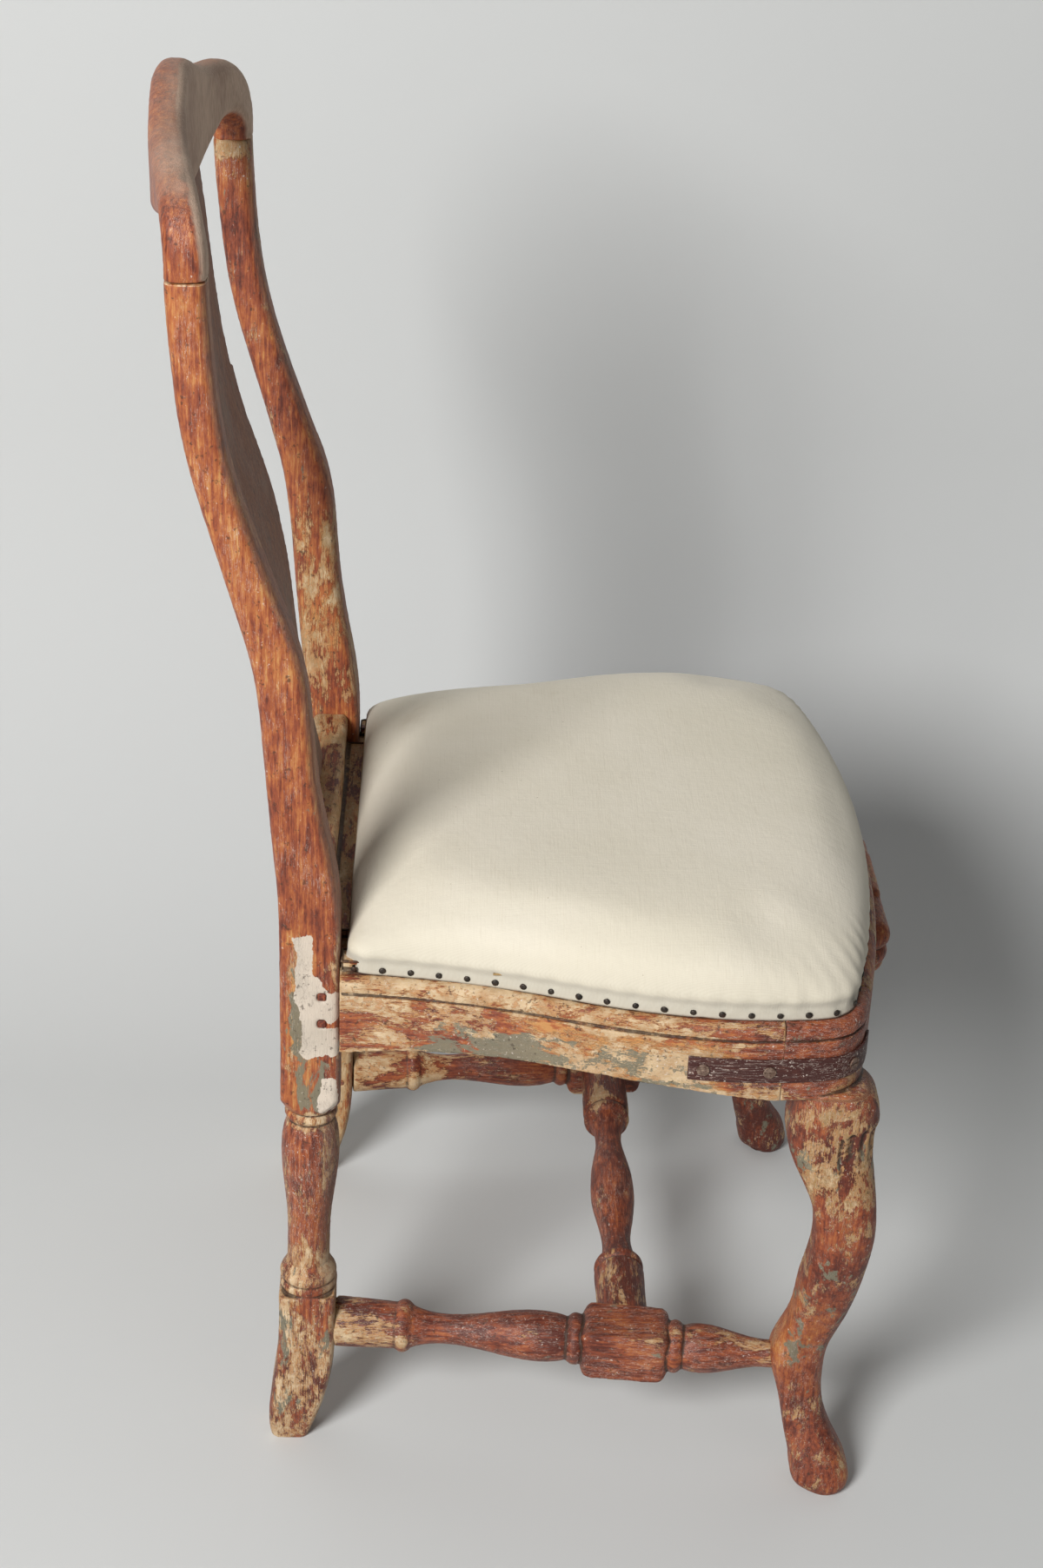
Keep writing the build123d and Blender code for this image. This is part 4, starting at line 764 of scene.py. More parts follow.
# %% Places where the paint has worn
NEAR_FACE = (-0.21, -0.165)
RAIL_TOP = (0.3915, 0.43)
UNDER_FOOT = -0.05
JOINT_LINE = ("line", {"Z": (0.8646, 0.8667)}, 0.42)
ZONES = {
    "right_back_stile": (
        ("filler", {"X": NEAR_FACE, "Y": (0.147, 0.161), "Z": (0.380, 0.432)}, 0.5),
        ("filler", {"X": NEAR_FACE, "Y": (0.142, 0.156), "Z": (0.358, 0.398)}, 0.5),
        ("filler", {"X": NEAR_FACE, "Y": (0.131, 0.150), "Z": (0.365, 0.388)}, 0.5),
        ("filler", {"X": NEAR_FACE, "Y": (0.129, 0.156), "Z": (0.337, 0.361)}, 0.5),
        ("filler", {"X": NEAR_FACE, "Y": (0.132, 0.144), "Z": (0.290, 0.320)}, 0.5),
        ("green", {"X": NEAR_FACE, "Y": (0.140, 0.160), "Z": (0.292, 0.342)}, 0.24),
        ("green", {"X": NEAR_FACE, "Y": (0.154, 0.164), "Z": (0.345, 0.410)}, 0.24),
        ("tone", {"X": NEAR_FACE, "Y": (0.146, 0.166), "Z": (0.285, 0.445)}, 0.08),
        ("cream", {"X": NEAR_FACE, "Y": (0.128, 0.166), "Z": (0.283, 0.445)}, 0.13),
        ("cream", {"Z": (0.272, 0.290)}, 0.14),
        ("cream", {"Z": (0.166, 0.276)}, 0.13),
        ("tone", {"Z": (UNDER_FOOT, 0.28)}, -0.04),
        ("cream", {"Z": (UNDER_FOOT, 0.170)}, 0.23),
        ("green", {"Z": (UNDER_FOOT, 0.13)}, 0.09),
        ("chalk", {"Z": (UNDER_FOOT, 0.29)}, 0.10),
        ("tone", {"Z": (0.62, 0.87)}, 0.02),
        ("tone", {"Z": (0.30, 0.55)}, -0.02),
        JOINT_LINE,
    ),
    "left_back_stile": (
        ("cream", {"Z": (0.445, 0.60)}, 0.13),
        ("cream", {"Z": (UNDER_FOOT, 0.170)}, 0.2),
        ("cream", {"Z": (0.852, 0.872)}, 0.2),
        ("chalk", {"Z": (0.84, 0.88)}, 0.12),
    ),
    "crest_rail": (
        ("crack", {"X": (-0.158, -0.140), "Y": (0.0, 0.225), "Z": (0.904, 0.928)}, 1.0),
        ("dust", {"Y": (0.05, 0.241), "Z": (0.916, 1.0)}, 0.8),
        JOINT_LINE,
    ),
    "right_side_rail": (
        ("cream", {"Z": RAIL_TOP}, 0.08),
        ("cream", {"Z": (0.335, 0.352)}, 0.05),
        ("green", {"Y": (-0.12, 0.075), "Z": (0.346, 0.379)}, 0.22),
        ("tone", {"Y": (-0.13, 0.01), "Z": (0.348, 0.390)}, 0.12),
        ("cream", {"Y": (-0.14, -0.01), "Z": (0.346, 0.392)}, 0.05),
        ("cream", {"Y": (-0.25, -0.09), "Z": (0.385, 0.43)}, -0.10),
        ("cream", {"Y": (-0.25, -0.15)}, -0.04),
        ("chalk", {"Y": (-0.25, -0.12)}, 0.08),
    ),
    "left_side_rail": (("cream", {"Z": RAIL_TOP}, 0.10),),
    "front_seat_rail": (("cream", {"Z": RAIL_TOP}, 0.06),),
    "right_front_leg": (
        ("cream", {"Z": (0.27, 0.37)}, 0.11),
        ("cream", {"Z": (0.15, 0.29)}, 0.07),
        ("green", {"Z": (0.10, 0.22)}, 0.07),
        ("green", {"Z": (0.285, 0.323)}, 0.08),
        ("cream", {"Z": (0.346, 0.43)}, -0.04),
        ("chalk", {"Z": (0.346, 0.43)}, 0.16),
        ("tone", {"Y": (-0.185, -0.10), "Z": (0.02, 0.23)}, 0.07),
        ("cream", {"Z": (UNDER_FOOT, 0.07)}, 0.06),
        ("tone", {"Z": (UNDER_FOOT, 0.07)}, 0.03),
    ),
    "left_front_leg": (("cream", {"Z": (0.19, 0.37)}, 0.08),),
    "right_side_stretcher": (
        ("cream", {"Y": (0.08, 0.16)}, 0.09),
        ("cream", {"Y": (-0.24, -0.16)}, 0.08),
    ),
    "left_side_stretcher": (("cream", {"Y": (0.055, 0.16)}, 0.13),),
    "cross_stretcher": (
        ("cream", {"X": (-0.19, -0.11)}, 0.09),
        ("cream", {"X": (0.09, 0.19)}, 0.09),
    ),
}
print("worn places:", sum(len(places) for places in ZONES.values()), "on", len(ZONES), "pieces")

# %% Finish of each piece
CREST_DUST = (srgb(208, 182, 160), srgb(162, 136, 118))
LEG_PAINT = dict(grain="Z", top_grain="Y", flakes="round", streaks=0.26, aged=0.9)
FINISHES = {
    "right_back_stile": dict(grain="Z", tone=0.0, cream=-0.15, rub=0.03, chalk=0.03, dust=0.35,
                             gloss=0.36, seed=1.0),
    "left_back_stile": dict(grain="Z", tone=-0.005, cream=-0.07, rub=0.03, dust=0.3, gloss=0.4,
                            aged=0.6, seed=2.3),
    "crest_rail": dict(grain="Z", tone=-0.015, cream=-0.25, rub=0.02, dust=0.95, gloss=0.33,
                       dusts=CREST_DUST, seed=3.1),
    "back_splat": dict(grain="Z", tone=-0.03, cream=-0.25, rub=0.02, dust=0.6, gloss=0.5, seed=4.2),
    "splat_shoe": dict(grain="X", tone=-0.04, cream=0.10, aged=0.75, seed=5.0),
    "rear_seat_rail": dict(grain="X", tone=-0.06, cream=0.08, dust=0.4, aged=0.75, seed=6.0),
    "right_side_rail": dict(grain="Y", tone=-0.02, cream=0.035, chalk=0.08, aged=0.25, seed=7.0),
    "left_side_rail": dict(grain="Y", tone=-0.02, cream=-0.02, aged=0.3, seed=8.0),
    "front_seat_rail": dict(grain="X", tone=-0.035, cream=-0.04, chalk=0.07, aged=0.5, seed=9.0),
    "apron_shell": dict(grain="Z", tone=-0.02, cream=-0.03, aged=0.5, seed=10.0),
    "right_front_leg": dict(tone=-0.05, cream=-0.08, green=-0.05, chalk=0.06, seed=11.0, **LEG_PAINT),
    "left_front_leg": dict(tone=-0.08, cream=-0.04, green=0.0, chalk=0.03, seed=12.0, **LEG_PAINT),
    "right_side_stretcher": dict(grain="Y", tone=-0.048, cream=-0.08, chalk=0.12, rub=0.16, aged=0.4,
                                 seed=13.0),
    "left_side_stretcher": dict(grain="Y", tone=-0.05, cream=-0.05, chalk=0.04, rub=0.16, aged=0.4,
                                seed=14.0),
    "cross_stretcher": dict(grain="X", tone=-0.07, cream=-0.09, chalk=0.06, rub=0.18, aged=0.7,
                            seed=15.0),
}
FRAME_FACES = []
for node, finish in FINISHES.items():
    finely = node.endswith(("seat_rail", "side_rail", "front_leg"))
    piece = worn_copy(node, voxel=FINE_VOXEL if finely else FRAME_VOXEL, carve=CARVINGS.get(node))
    FRAME_FACES.append(len(piece.data.polygons))
    paint = worn_paint(node + "_paint", zones=ZONES.get(node, ()), **finish)
    piece.data.materials.append(paint)
    print(piece.name, FRAME_FACES[-1], "faces")
print("frame pieces:", len(FRAME_FACES), "with", sum(FRAME_FACES), "faces")

# %% [markdown]
# ## Pegs
# Pegs pin the tenons. They were cut by knife and driven through, and painted with the chair. A fine
# voxel skin softens the sharp CAD corners, and the same paint stack finishes them.

# %% Worn pegs
PEG_VOXEL = 0.0006
for node in ("rail_pegs", "leg_pegs", "stretcher_pegs", "crest_pegs"):
    piece = worn_copy(node, voxel=PEG_VOXEL, wave=0.0001, fine=0.00005, loss=0.0001,
                      rounds=2)
    paint = worn_paint(node + "_paint", grain="X", tone=-0.03, cream=-0.12, seed=16.0)
    piece.data.materials.append(paint)
    print(piece.name, len(piece.data.polygons), "faces")

# %% [markdown]
# ## The seat
# Plain cotton is pulled over hair stuffing and tacked low on the rails. The margin is read from the
# CAD cover by rays, and a full dome is drawn over it. A closed copy with an even voxel skin is blown
# up a little by Blender's cloth, with the tacked margin pinned. A remeshed skin would show its voxels
# in the light, so its movement is given to a clean grid of quads, which is the cover.

# %% Rays out to the cover
MOST_WALLS = 12
PAST_WALL = 1e-5


def tree_of(mesh):
    """Search tree over a mesh's faces, for rays and nearest places."""
    return BVHTree.FromPolygons([v.co for v in mesh.vertices], [p.vertices for p in mesh.polygons])


def farthest_hit(tree, start, way):
    """Distance from start to the last surface on that way, or None."""
    found = None
    place = Vector(start)
    gone = 0.0
    for _ in range(MOST_WALLS):
        hit, _, _, far = tree.ray_cast(place, way)
        if hit is None:
            break
        gone += far + PAST_WALL
        found = gone
        place = Vector(start) + way * gone
    return found


def steady(row):
    """Fill missing readings and take out the odd ones, round a closed row."""
    row = np.array([np.nan if x is None else x for x in row], float)
    good = ~np.isnan(row)
    order = np.arange(len(row))
    row = np.interp(order, order[good], row[good], period=len(row))
    stack = np.stack([np.roll(row, k) for k in range(-3, 4)])
    return np.median(stack, 0)


COVER_TREE = tree_of(NODES["seat_cover"].data)
under_cloth = COVER_TREE.ray_cast(Vector((0, 0, 0)), Vector((0, 0, 1)))[3]
print("the cover's underside over the origin is at", round(under_cloth, 4), "m")

# %% Rings of the seat
SEAT_CENTRE_Y = -0.055
RAYS_ROUND = 720
MARGIN_HEIGHTS = (0.4044, 0.4058, 0.4072, 0.4086, 0.4100, 0.4115, 0.4130, 0.4148, 0.4168, 0.4190)
DOME_FOOT = 0.4215
DOME_FULLNESS = 6.5
DOME_STEPS = 32
CORNER_TURN = 0.5
MARGIN_OUT = 0.0005


def rounded(reach, turn):
    """Distances round the seat, smoothed over a turn in radians."""
    waves = np.fft.rfft(reach)
    return np.fft.irfft(waves * np.exp(-0.5 * (np.arange(len(waves)) * turn) ** 2), len(reach))


def seat_rings():
    """Rings of points: margin and side wall read from the CAD cover, then a full dome over them."""
    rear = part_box("seat_cover")[1].y
    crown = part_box("seat_cover")[1].z
    turns = [2 * math.pi * k / RAYS_ROUND for k in range(RAYS_ROUND)]
    ways = [Vector((math.cos(a), math.sin(a), 0)) for a in turns]
    rings = []
    for z in MARGIN_HEIGHTS + (DOME_FOOT,):
        start = Vector((0.0, SEAT_CENTRE_Y, z))
        far = steady([farthest_hit(COVER_TREE, start, way) for way in ways]) + MARGIN_OUT
        ring = [start + way * d for way, d in zip(ways, far)]
        rings.append([Vector((p.x, min(p.y, rear), p.z)) for p in ring])
    reach = np.array([math.hypot(p.x, p.y - SEAT_CENTRE_Y) for p in rings[-1]])
    for step in range(1, DOME_STEPS):
        share = 1 - (step / DOME_STEPS) ** 2
        z = DOME_FOOT + (crown - DOME_FOOT) * math.sqrt(1 - share ** DOME_FULLNESS)
        middle = Vector((0.0, SEAT_CENTRE_Y, z))
        far = rounded(reach, CORNER_TURN * step / DOME_STEPS) * share
        rings.append([middle + way * d for way, d in zip(ways, far)])
    return rings


RINGS = seat_rings()
print("seat rings:", len(RINGS), "crown at", round(max(p.z for p in RINGS[-1]), 4))

# %% Closed seat form and its cloth
SEAT_VOXEL = 0.005
SWELL_LIMIT = 0.004
PIN_BELOW = 0.4150
CLOTH_FRAMES = 20
CLOTH_PRESSURE = 4.0
NEAR_POINTS = 6


def ring_mesh(name, closed):
    """Quads between the rings, a fan at the crown and, if closed, a flat underside."""
    work = bmesh.new()
    rows = [[work.verts.new(p) for p in ring] for ring in RINGS]
    crown = work.verts.new(sum(RINGS[-1], Vector()) / RAYS_ROUND)
    join_rings(work, rows)
    for k in range(RAYS_ROUND):
        work.faces.new((rows[-1][k], rows[-1][(k + 1) % RAYS_ROUND], crown))
    if closed:
        work.faces.new(list(reversed(rows[0])))
    return mesh_from(work, name)


def swelling():
    """Run the cloth with its tacked margin pinned; start places and capped movement of its points."""
    mesh = even_skin(new_object("seat_form", ring_mesh("seat_form", True)), SEAT_VOXEL)
    runner = new_object("seat_cloth_run", mesh)
    start = points_of(mesh)
    pinned = runner.vertex_groups.new(name="tacked")
    for k in np.nonzero(start[:, 2] < PIN_BELOW)[0]:
        pinned.add([int(k)], 1.0, "REPLACE")
    cloth = runner.modifiers.new("cloth", "CLOTH")
    cloth.settings.quality = 6
    cloth.settings.use_pressure = True
    cloth.settings.uniform_pressure_force = CLOTH_PRESSURE
    cloth.settings.vertex_group_mass = "tacked"
    cloth.settings.effector_weights.gravity = 0.0
    cloth.settings.tension_stiffness = 40
    cloth.settings.bending_stiffness = 2
    for frame_number in range(1, CLOTH_FRAMES + 1):
        SCENE.frame_set(frame_number)
    seen = bpy.context.evaluated_depsgraph_get()
    ran = bpy.data.meshes.new_from_object(runner.evaluated_get(seen))
    move = spread(points_of(ran) - start, edges_of(mesh), 40)
    far = np.linalg.norm(move, axis=1)
    bpy.data.objects.remove(runner)
    SCENE.frame_set(1)
    print("cloth moved", round(float(far.max()) * 1000, 2), "mm at most, capped at", SWELL_LIMIT * 1000)
    return start, move * np.minimum(1, SWELL_LIMIT / np.maximum(far, 1e-9))[:, None]


def swollen(points):
    """Points moved as the nearest points of the swollen cloth were."""
    start, move = swelling()
    near = KDTree(len(start))
    for number, place in enumerate(start):
        near.insert(place, number)
    near.balance()
    result = points.copy()
    for number, place in enumerate(points):
        found = near.find_n(place, NEAR_POINTS)
        weight = np.array([1 / (far + 0.001) for _, _, far in found])
        result[number] += weight @ move[[index for _, index, _ in found]] / weight.sum()
    return result


seat_mesh = ring_mesh("seat_cover_cloth", False)
set_points(seat_mesh, swollen(points_of(seat_mesh)))
print("cover grid:", len(seat_mesh.polygons), "faces")

# %% Where the tacks are
HEAD_BEYOND = 0.0018


def islands(node):
    """Separate solids of a CAD node, each as an array of points."""
    work = welded(NODES[node].data)
    seen = set()
    found = []
    for vert in work.verts:
        if vert in seen:
            continue
        group = []
        wait = [vert]
        seen.add(vert)
        while wait:
            here = wait.pop()
            group.append(here.co.copy())
            for edge in here.link_edges:
                other = edge.other_vert(here)
                if other not in seen:
                    seen.add(other)
                    wait.append(other)
        found.append(np.array(group))
    work.free()
    return found


def tack_poses(node):
    """Middle of each head's underside and the way it faces."""
    poses = []
    for points in islands(node):
        middle = points.mean(0)
        spans = np.linalg.svd(points - middle)[2]
        axis = spans[0]
        along = (points - middle) @ axis
        off = np.linalg.norm(points - middle - np.outer(along, axis), axis=1)
        wide = off > HEAD_BEYOND
        if along[wide].mean() < 0:
            axis = -axis
            along = -along
        inner = along[wide].min()
        poses.append((Vector(middle + axis * inner), Vector(axis)))
    return poses


COVER_TACKS = tack_poses("cover_tacks")
WEB_TACKS = tack_poses("webbing_tacks")
print("cover tacks:", len(COVER_TACKS), "webbing tacks:", len(WEB_TACKS))

# %% Pucker and thicken the cover
CLOTH_THICKNESS = 0.0011
HEM_START = 0.4085
HEM_TOP = 0.412
FOLD_TOP = 0.432
FOLD_FADE = 0.018
FOLD_DEPTH = 0.0002
CORNER_FOLD_DEPTH = 0.0008
TACK_HALF_GAP = 0.0095
PULL_WIDTH = 0.004
PULL_DEPTH = 0.0002
CORNER_X = 0.178
CORNER_Y = -0.185
CORNER_HALF_X = 0.035
CORNER_HALF_Y = 0.045
GATHER_TOP = 0.446
GATHER_FADE = 0.03
GATHER_RATE = 130
GATHER_DEPTH = 0.0013
SLACK_DEPTH = 0.0003
HEM_EDGE = 0.4056
HEM_WAVER = 0.0006
HEM_LOWEST = 0.4043


def finish_cover(mesh):
    """Small pulls at the tacks, gathers at the front corners and an uneven lower edge."""
    drawn_rings = points_of(mesh)
    points = spread(drawn_rings, edges_of(mesh), 2)
    points[:, 2] = np.where(points[:, 2] < HEM_TOP, drawn_rings[:, 2], points[:, 2])
    set_points(mesh, points)
    normals = normals_of(mesh)
    x, y, z = points.T
    near = np.full(len(points), 9.0)
    for head, _ in COVER_TACKS:
        near = np.minimum(near, np.hypot(x - head.x, y - head.y))
    corner_x = (np.abs(x) - CORNER_X) / CORNER_HALF_X
    corner_y = (y - CORNER_Y) / CORNER_HALF_Y
    corner = np.exp(-corner_x ** 2 - corner_y ** 2)
    above_hem = step_up(z, HEM_START, HEM_TOP)
    low = step_up(FOLD_TOP - z, 0.0, FOLD_FADE) * above_hem
    folds = np.cos(math.pi * np.clip(near / TACK_HALF_GAP, 0, 1)) * low
    pull = np.exp(-(near / PULL_WIDTH) ** 2) * low
    turn = np.arctan2(y - SEAT_CENTRE_Y, x)
    drawn = step_up(GATHER_TOP - z, 0.0, GATHER_FADE) * above_hem
    gathers = np.sin(turn * GATHER_RATE + 2.5 * lump_noise(points, 25, 23)) * drawn * corner
    move = SLACK_DEPTH * lump_noise(points, 24, 21) - PULL_DEPTH * pull + GATHER_DEPTH * gathers
    move -= (FOLD_DEPTH + CORNER_FOLD_DEPTH * corner) * folds
    points = points + normals * move[:, None]
    hem = points[:, 2] < HEM_EDGE
    points[hem, 2] += HEM_WAVER * lump_noise(points[hem], 160, 22)
    points[:, 2] = np.maximum(points[:, 2], HEM_LOWEST)
    set_points(mesh, points)
    shade_smooth(mesh)


finish_cover(seat_mesh)
cover = new_object("seat_cover_cloth", seat_mesh)
thick = cover.modifiers.new("cloth thickness", "SOLIDIFY")
thick.thickness = CLOTH_THICKNESS
thick.offset = -1.0
cover_crown = float(points_of(seat_mesh)[:, 2].max())
print("cover:", len(seat_mesh.polygons), "faces, crown", round(cover_crown, 4))

# %% Cotton of the cover
COTTON_WEAVE = 420.0
WALL_TOP = 0.4330
WALL_FADE = 0.0090
MARGIN_TOP = 0.4175
MARGIN_FADE = 0.0018
ABOVE_ALL = 0.9


def cotton_material():
    """Cream cotton: fine plain weave, slubs, faint stains, and painted shade that greys the tacked
    margin.
    """
    n = Nodes("cover_cotton")
    weave = n.times(n.threads("X", COTTON_WEAVE, 0.4), n.threads("Y", COTTON_WEAVE, 0.4))
    slub = n.noise(n.stretched((30, 900, 60)), 1.0, 4, 0.6)
    slub_two = n.noise(n.stretched((900, 30, 60)), 1.0, 4, 0.6)
    cloud = n.noise(n.place, 7.0, 5, 0.55)
    colour = n.mix(n.step(cloud, 0.3, 0.7), srgb(230, 222, 205), srgb(222, 214, 195))
    colour = n.mix(n.times(n.step(slub, 0.55, 0.75), 0.22), colour, srgb(200, 188, 164))
    colour = n.mix(n.times(n.step(slub_two, 0.55, 0.75), 0.20), colour, srgb(216, 206, 184))
    wall = n.minus(1.0, n.window("Z", WALL_TOP, ABOVE_ALL, WALL_FADE))
    colour = n.mix(n.times(wall, 0.7), colour, srgb(206, 198, 180))
    stain_place = n.stretched((1, 1, 1), (3.1, 0.4, 0))
    stain = n.step(n.noise(stain_place, 11.0, 6, 0.6, 0.6), 0.60, 0.78)
    colour = n.mix(n.times(stain, 0.28), colour, srgb(184, 168, 138))
    speck = n.step(n.noise(n.place, 330.0, 2, 0.5), 0.77, 0.80)
    colour = n.mix(n.times(speck, 0.6), colour, srgb(120, 96, 66))
    # painted shade: the tacked margin under the roll of the dome is greyed as if it lay in the roll's
    # shadow
    hem = n.minus(1.0, n.window("Z", MARGIN_TOP, ABOVE_ALL, MARGIN_FADE))
    colour = n.mix(n.times(hem, 0.75), colour, srgb(188, 182, 168))
    thread = n.times(weave, 0.16)
    colour = n.mix(thread, colour, srgb(168, 156, 132))
    n.feed(n.shader.inputs["Base Color"], colour)
    n.shader.inputs["Roughness"].default_value = 0.92
    n.shader.inputs["Specular IOR Level"].default_value = 0.15
    n.shader.inputs["Sheen Weight"].default_value = 0.12
    normal = n.bump(n.blend(0.5, slub, slub_two), 0.0003)
    normal = n.bump(n.noise(n.place, 120.0, 4), 0.0004, normal)
    n.feed(n.shader.inputs["Normal"], normal)
    return n.material


cover.data.materials.append(cotton_material())
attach(cover, "root")
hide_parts("seat_cover")

# %% [markdown]
# ## What is under the cover
# Hair stuffing lies on hessian, and the hessian on jute webbing that is woven over and under. The
# webbing and the hessian show from below, so the bands really pass over each other here, while the
# CAD keeps them in two flat layers. Thin bands are lost in a remesh, so they are built quad by quad.

# %% Stuffing pad
PAD_CLEARANCE = 0.0028
PAD_VOXEL = 0.005
PAD_LUMP = 0.0012
PAD_SHRINK = 0.0022
PAD_LIFT = 0.0002


def stuffing_pad():
    """The CAD stuffing with a lumpy skin, kept clear below the cloth."""
    mesh = voxel_skin("seat_stuffing", PAD_VOXEL)
    points = spread(points_of(mesh), edges_of(mesh), 2)
    set_points(mesh, points)
    move = PAD_LUMP * lump_noise(points, 40, 31) - PAD_SHRINK
    points = points + normals_of(mesh) * move[:, None]
    skin = tree_of(cover.data)
    for number, point in enumerate(points):
        place, facing, _, _ = skin.find_nearest(Vector(point))
        over = (Vector(point) - place).dot(facing) + PAD_CLEARANCE
        if over > 0:
            points[number] -= np.array(facing) * over
    points[:, 2] = np.maximum(points[:, 2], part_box("seat_stuffing")[0].z + PAD_LIFT)
    set_points(mesh, points)
    shade_smooth(mesh)
    return new_object("seat_stuffing_pad", mesh)


def fibre_material():
    """Brown hair with its strands lying one way."""
    n = Nodes("hair_stuffing")
    strands = n.noise(n.stretched((400, 60, 60)), 2.0, 6, 0.7, 1.2)
    colour = n.mix(n.step(strands, 0.3, 0.7), srgb(72, 58, 44), srgb(132, 110, 82))
    n.feed(n.shader.inputs["Base Color"], colour)
    n.shader.inputs["Roughness"].default_value = 0.95
    n.feed(n.shader.inputs["Normal"], n.bump(strands, 0.002))
    return n.material


pad = stuffing_pad()
pad.data.materials.append(fibre_material())
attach(pad, "root")
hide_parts("seat_stuffing")
print(pad.name, len(pad.data.polygons), "faces")

# %% Jute cloth
def jute_material(name, fineness, light, dark):
    """Coarse plain weave; a higher fineness gives thinner threads."""
    n = Nodes(name)
    weave = n.math("MAXIMUM", n.threads("X", fineness, 0.8), n.threads("Y", fineness, 0.8))
    tone = n.noise(n.stretched((200, 20, 50)), 1.0, 5, 0.6)
    colour = n.mix(n.step(tone, 0.3, 0.7), dark, light)
    colour = n.mix(n.minus(1.0, weave), colour, srgb(70, 54, 36))
    n.feed(n.shader.inputs["Base Color"], colour)
    n.shader.inputs["Roughness"].default_value = 0.95
    n.feed(n.shader.inputs["Normal"], n.bump(weave, 0.0005))
    return n.material


WEBBING_WEAVE = 150.0
WEB_JUTE = jute_material("webbing_jute", WEBBING_WEAVE, srgb(176, 146, 98), srgb(138, 110, 70))
print("jute made:", WEB_JUTE.name)

# %% Webbing bands
BAND_HALF = 0.026
BAND_THICK = 0.0013
BAND_COLUMNS = 8
BAND_STEPS = 90
BAND_PITCH = 0.076
BAND_TRIM = 0.008
REAR_TRIM = 0.001
FIRST_CROSS_Y = 0.080
BAND_MIDDLE_Z = 0.41480
BAND_SWING = 0.0009
LENGTH_PLACES = [BAND_PITCH * (k - 1.5) for k in range(4)]
CROSS_PLACES = [FIRST_CROSS_Y - BAND_PITCH * k for k in range(4)]


def strip(work, centre_line, across):
    """Band with a real thickness along a line of points; across is half its width as a vector."""
    rows = []
    for point in centre_line:
        top = []
        for k in range(BAND_COLUMNS + 1):
            spot = point + across * (2 * k / BAND_COLUMNS - 1) + Vector((0, 0, BAND_THICK / 2))
            top.append(work.verts.new(spot))
        low = [work.verts.new(v.co - Vector((0, 0, BAND_THICK))) for v in top]
        rows.append((top, low))
    for (top, low), (top2, low2) in zip(rows, rows[1:]):
        for k in range(BAND_COLUMNS):
            work.faces.new((top[k], top[k + 1], top2[k + 1], top2[k]))
            work.faces.new((low[k + 1], low[k], low2[k], low2[k + 1]))
        work.faces.new((low[0], top[0], top2[0], low2[0]))
        work.faces.new((top[-1], low[-1], low2[-1], top2[-1]))
    for (top, low), flip in ((rows[0], False), (rows[-1], True)):
        for k in range(BAND_COLUMNS):
            quad = (top[k], low[k], low[k + 1], top[k + 1])
            work.faces.new(tuple(reversed(quad)) if flip else quad)


def weave_height(place, crossings, first_over):
    """Height of a band at a place, over one crossing and under the next."""
    z = BAND_MIDDLE_Z
    for number, crossing in enumerate(crossings):
        near = max(0.0, 1 - abs(place - crossing) / (BAND_PITCH / 2))
        sign = 1 if (number % 2 == 0) == first_over else -1
        z += sign * BAND_SWING * eased(near)
    return z


def band_ends(node, axis, place):
    """Reach of a CAD band along an axis, read from its points."""
    other = 1 - axis
    points = points_of(NODES[node].data)
    mine = points[np.abs(points[:, other] - place) < BAND_HALF + 0.001]
    return mine[:, axis].min(), mine[:, axis].max()


def webbing_bands(name, node, lengthwise):
    """Four bands one way, over and under those of the other way."""
    work = bmesh.new()
    for number, place in enumerate(LENGTH_PLACES if lengthwise else CROSS_PLACES):
        low, high = band_ends(node, 1 if lengthwise else 0, place)
        low = low + BAND_TRIM
        high = high - (REAR_TRIM if lengthwise else BAND_TRIM)
        crossings = CROSS_PLACES if lengthwise else LENGTH_PLACES
        over = (number % 2 == 0) == lengthwise
        line = []
        for k in range(BAND_STEPS + 1):
            t = low + (high - low) * k / BAND_STEPS
            z = weave_height(t, crossings, over)
            line.append(Vector((place, t, z)) if lengthwise else Vector((t, place, z)))
        across = Vector((BAND_HALF, 0, 0)) if lengthwise else Vector((0, BAND_HALF, 0))
        strip(work, line, across)
    bmesh.ops.recalc_face_normals(work, faces=work.faces)
    mesh = mesh_from(work, name)
    shade_smooth(mesh)
    made = new_object(name, mesh)
    made.data.materials.append(WEB_JUTE)
    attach(made, "root")
    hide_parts(node)
    return made


for name, node, lengthwise in (("lengthwise_bands", "lengthwise_webbing", True),
                               ("crosswise_bands", "crosswise_webbing", False)):
    print(name, len(webbing_bands(name, node, lengthwise).data.polygons), "faces")

# %% Hessian over the webbing
HESSIAN_RINGS = 26
HESSIAN_THICKNESS = 0.0005
HESSIAN_RIPPLE = 0.00015
HESSIAN_WEAVE = 86.6667


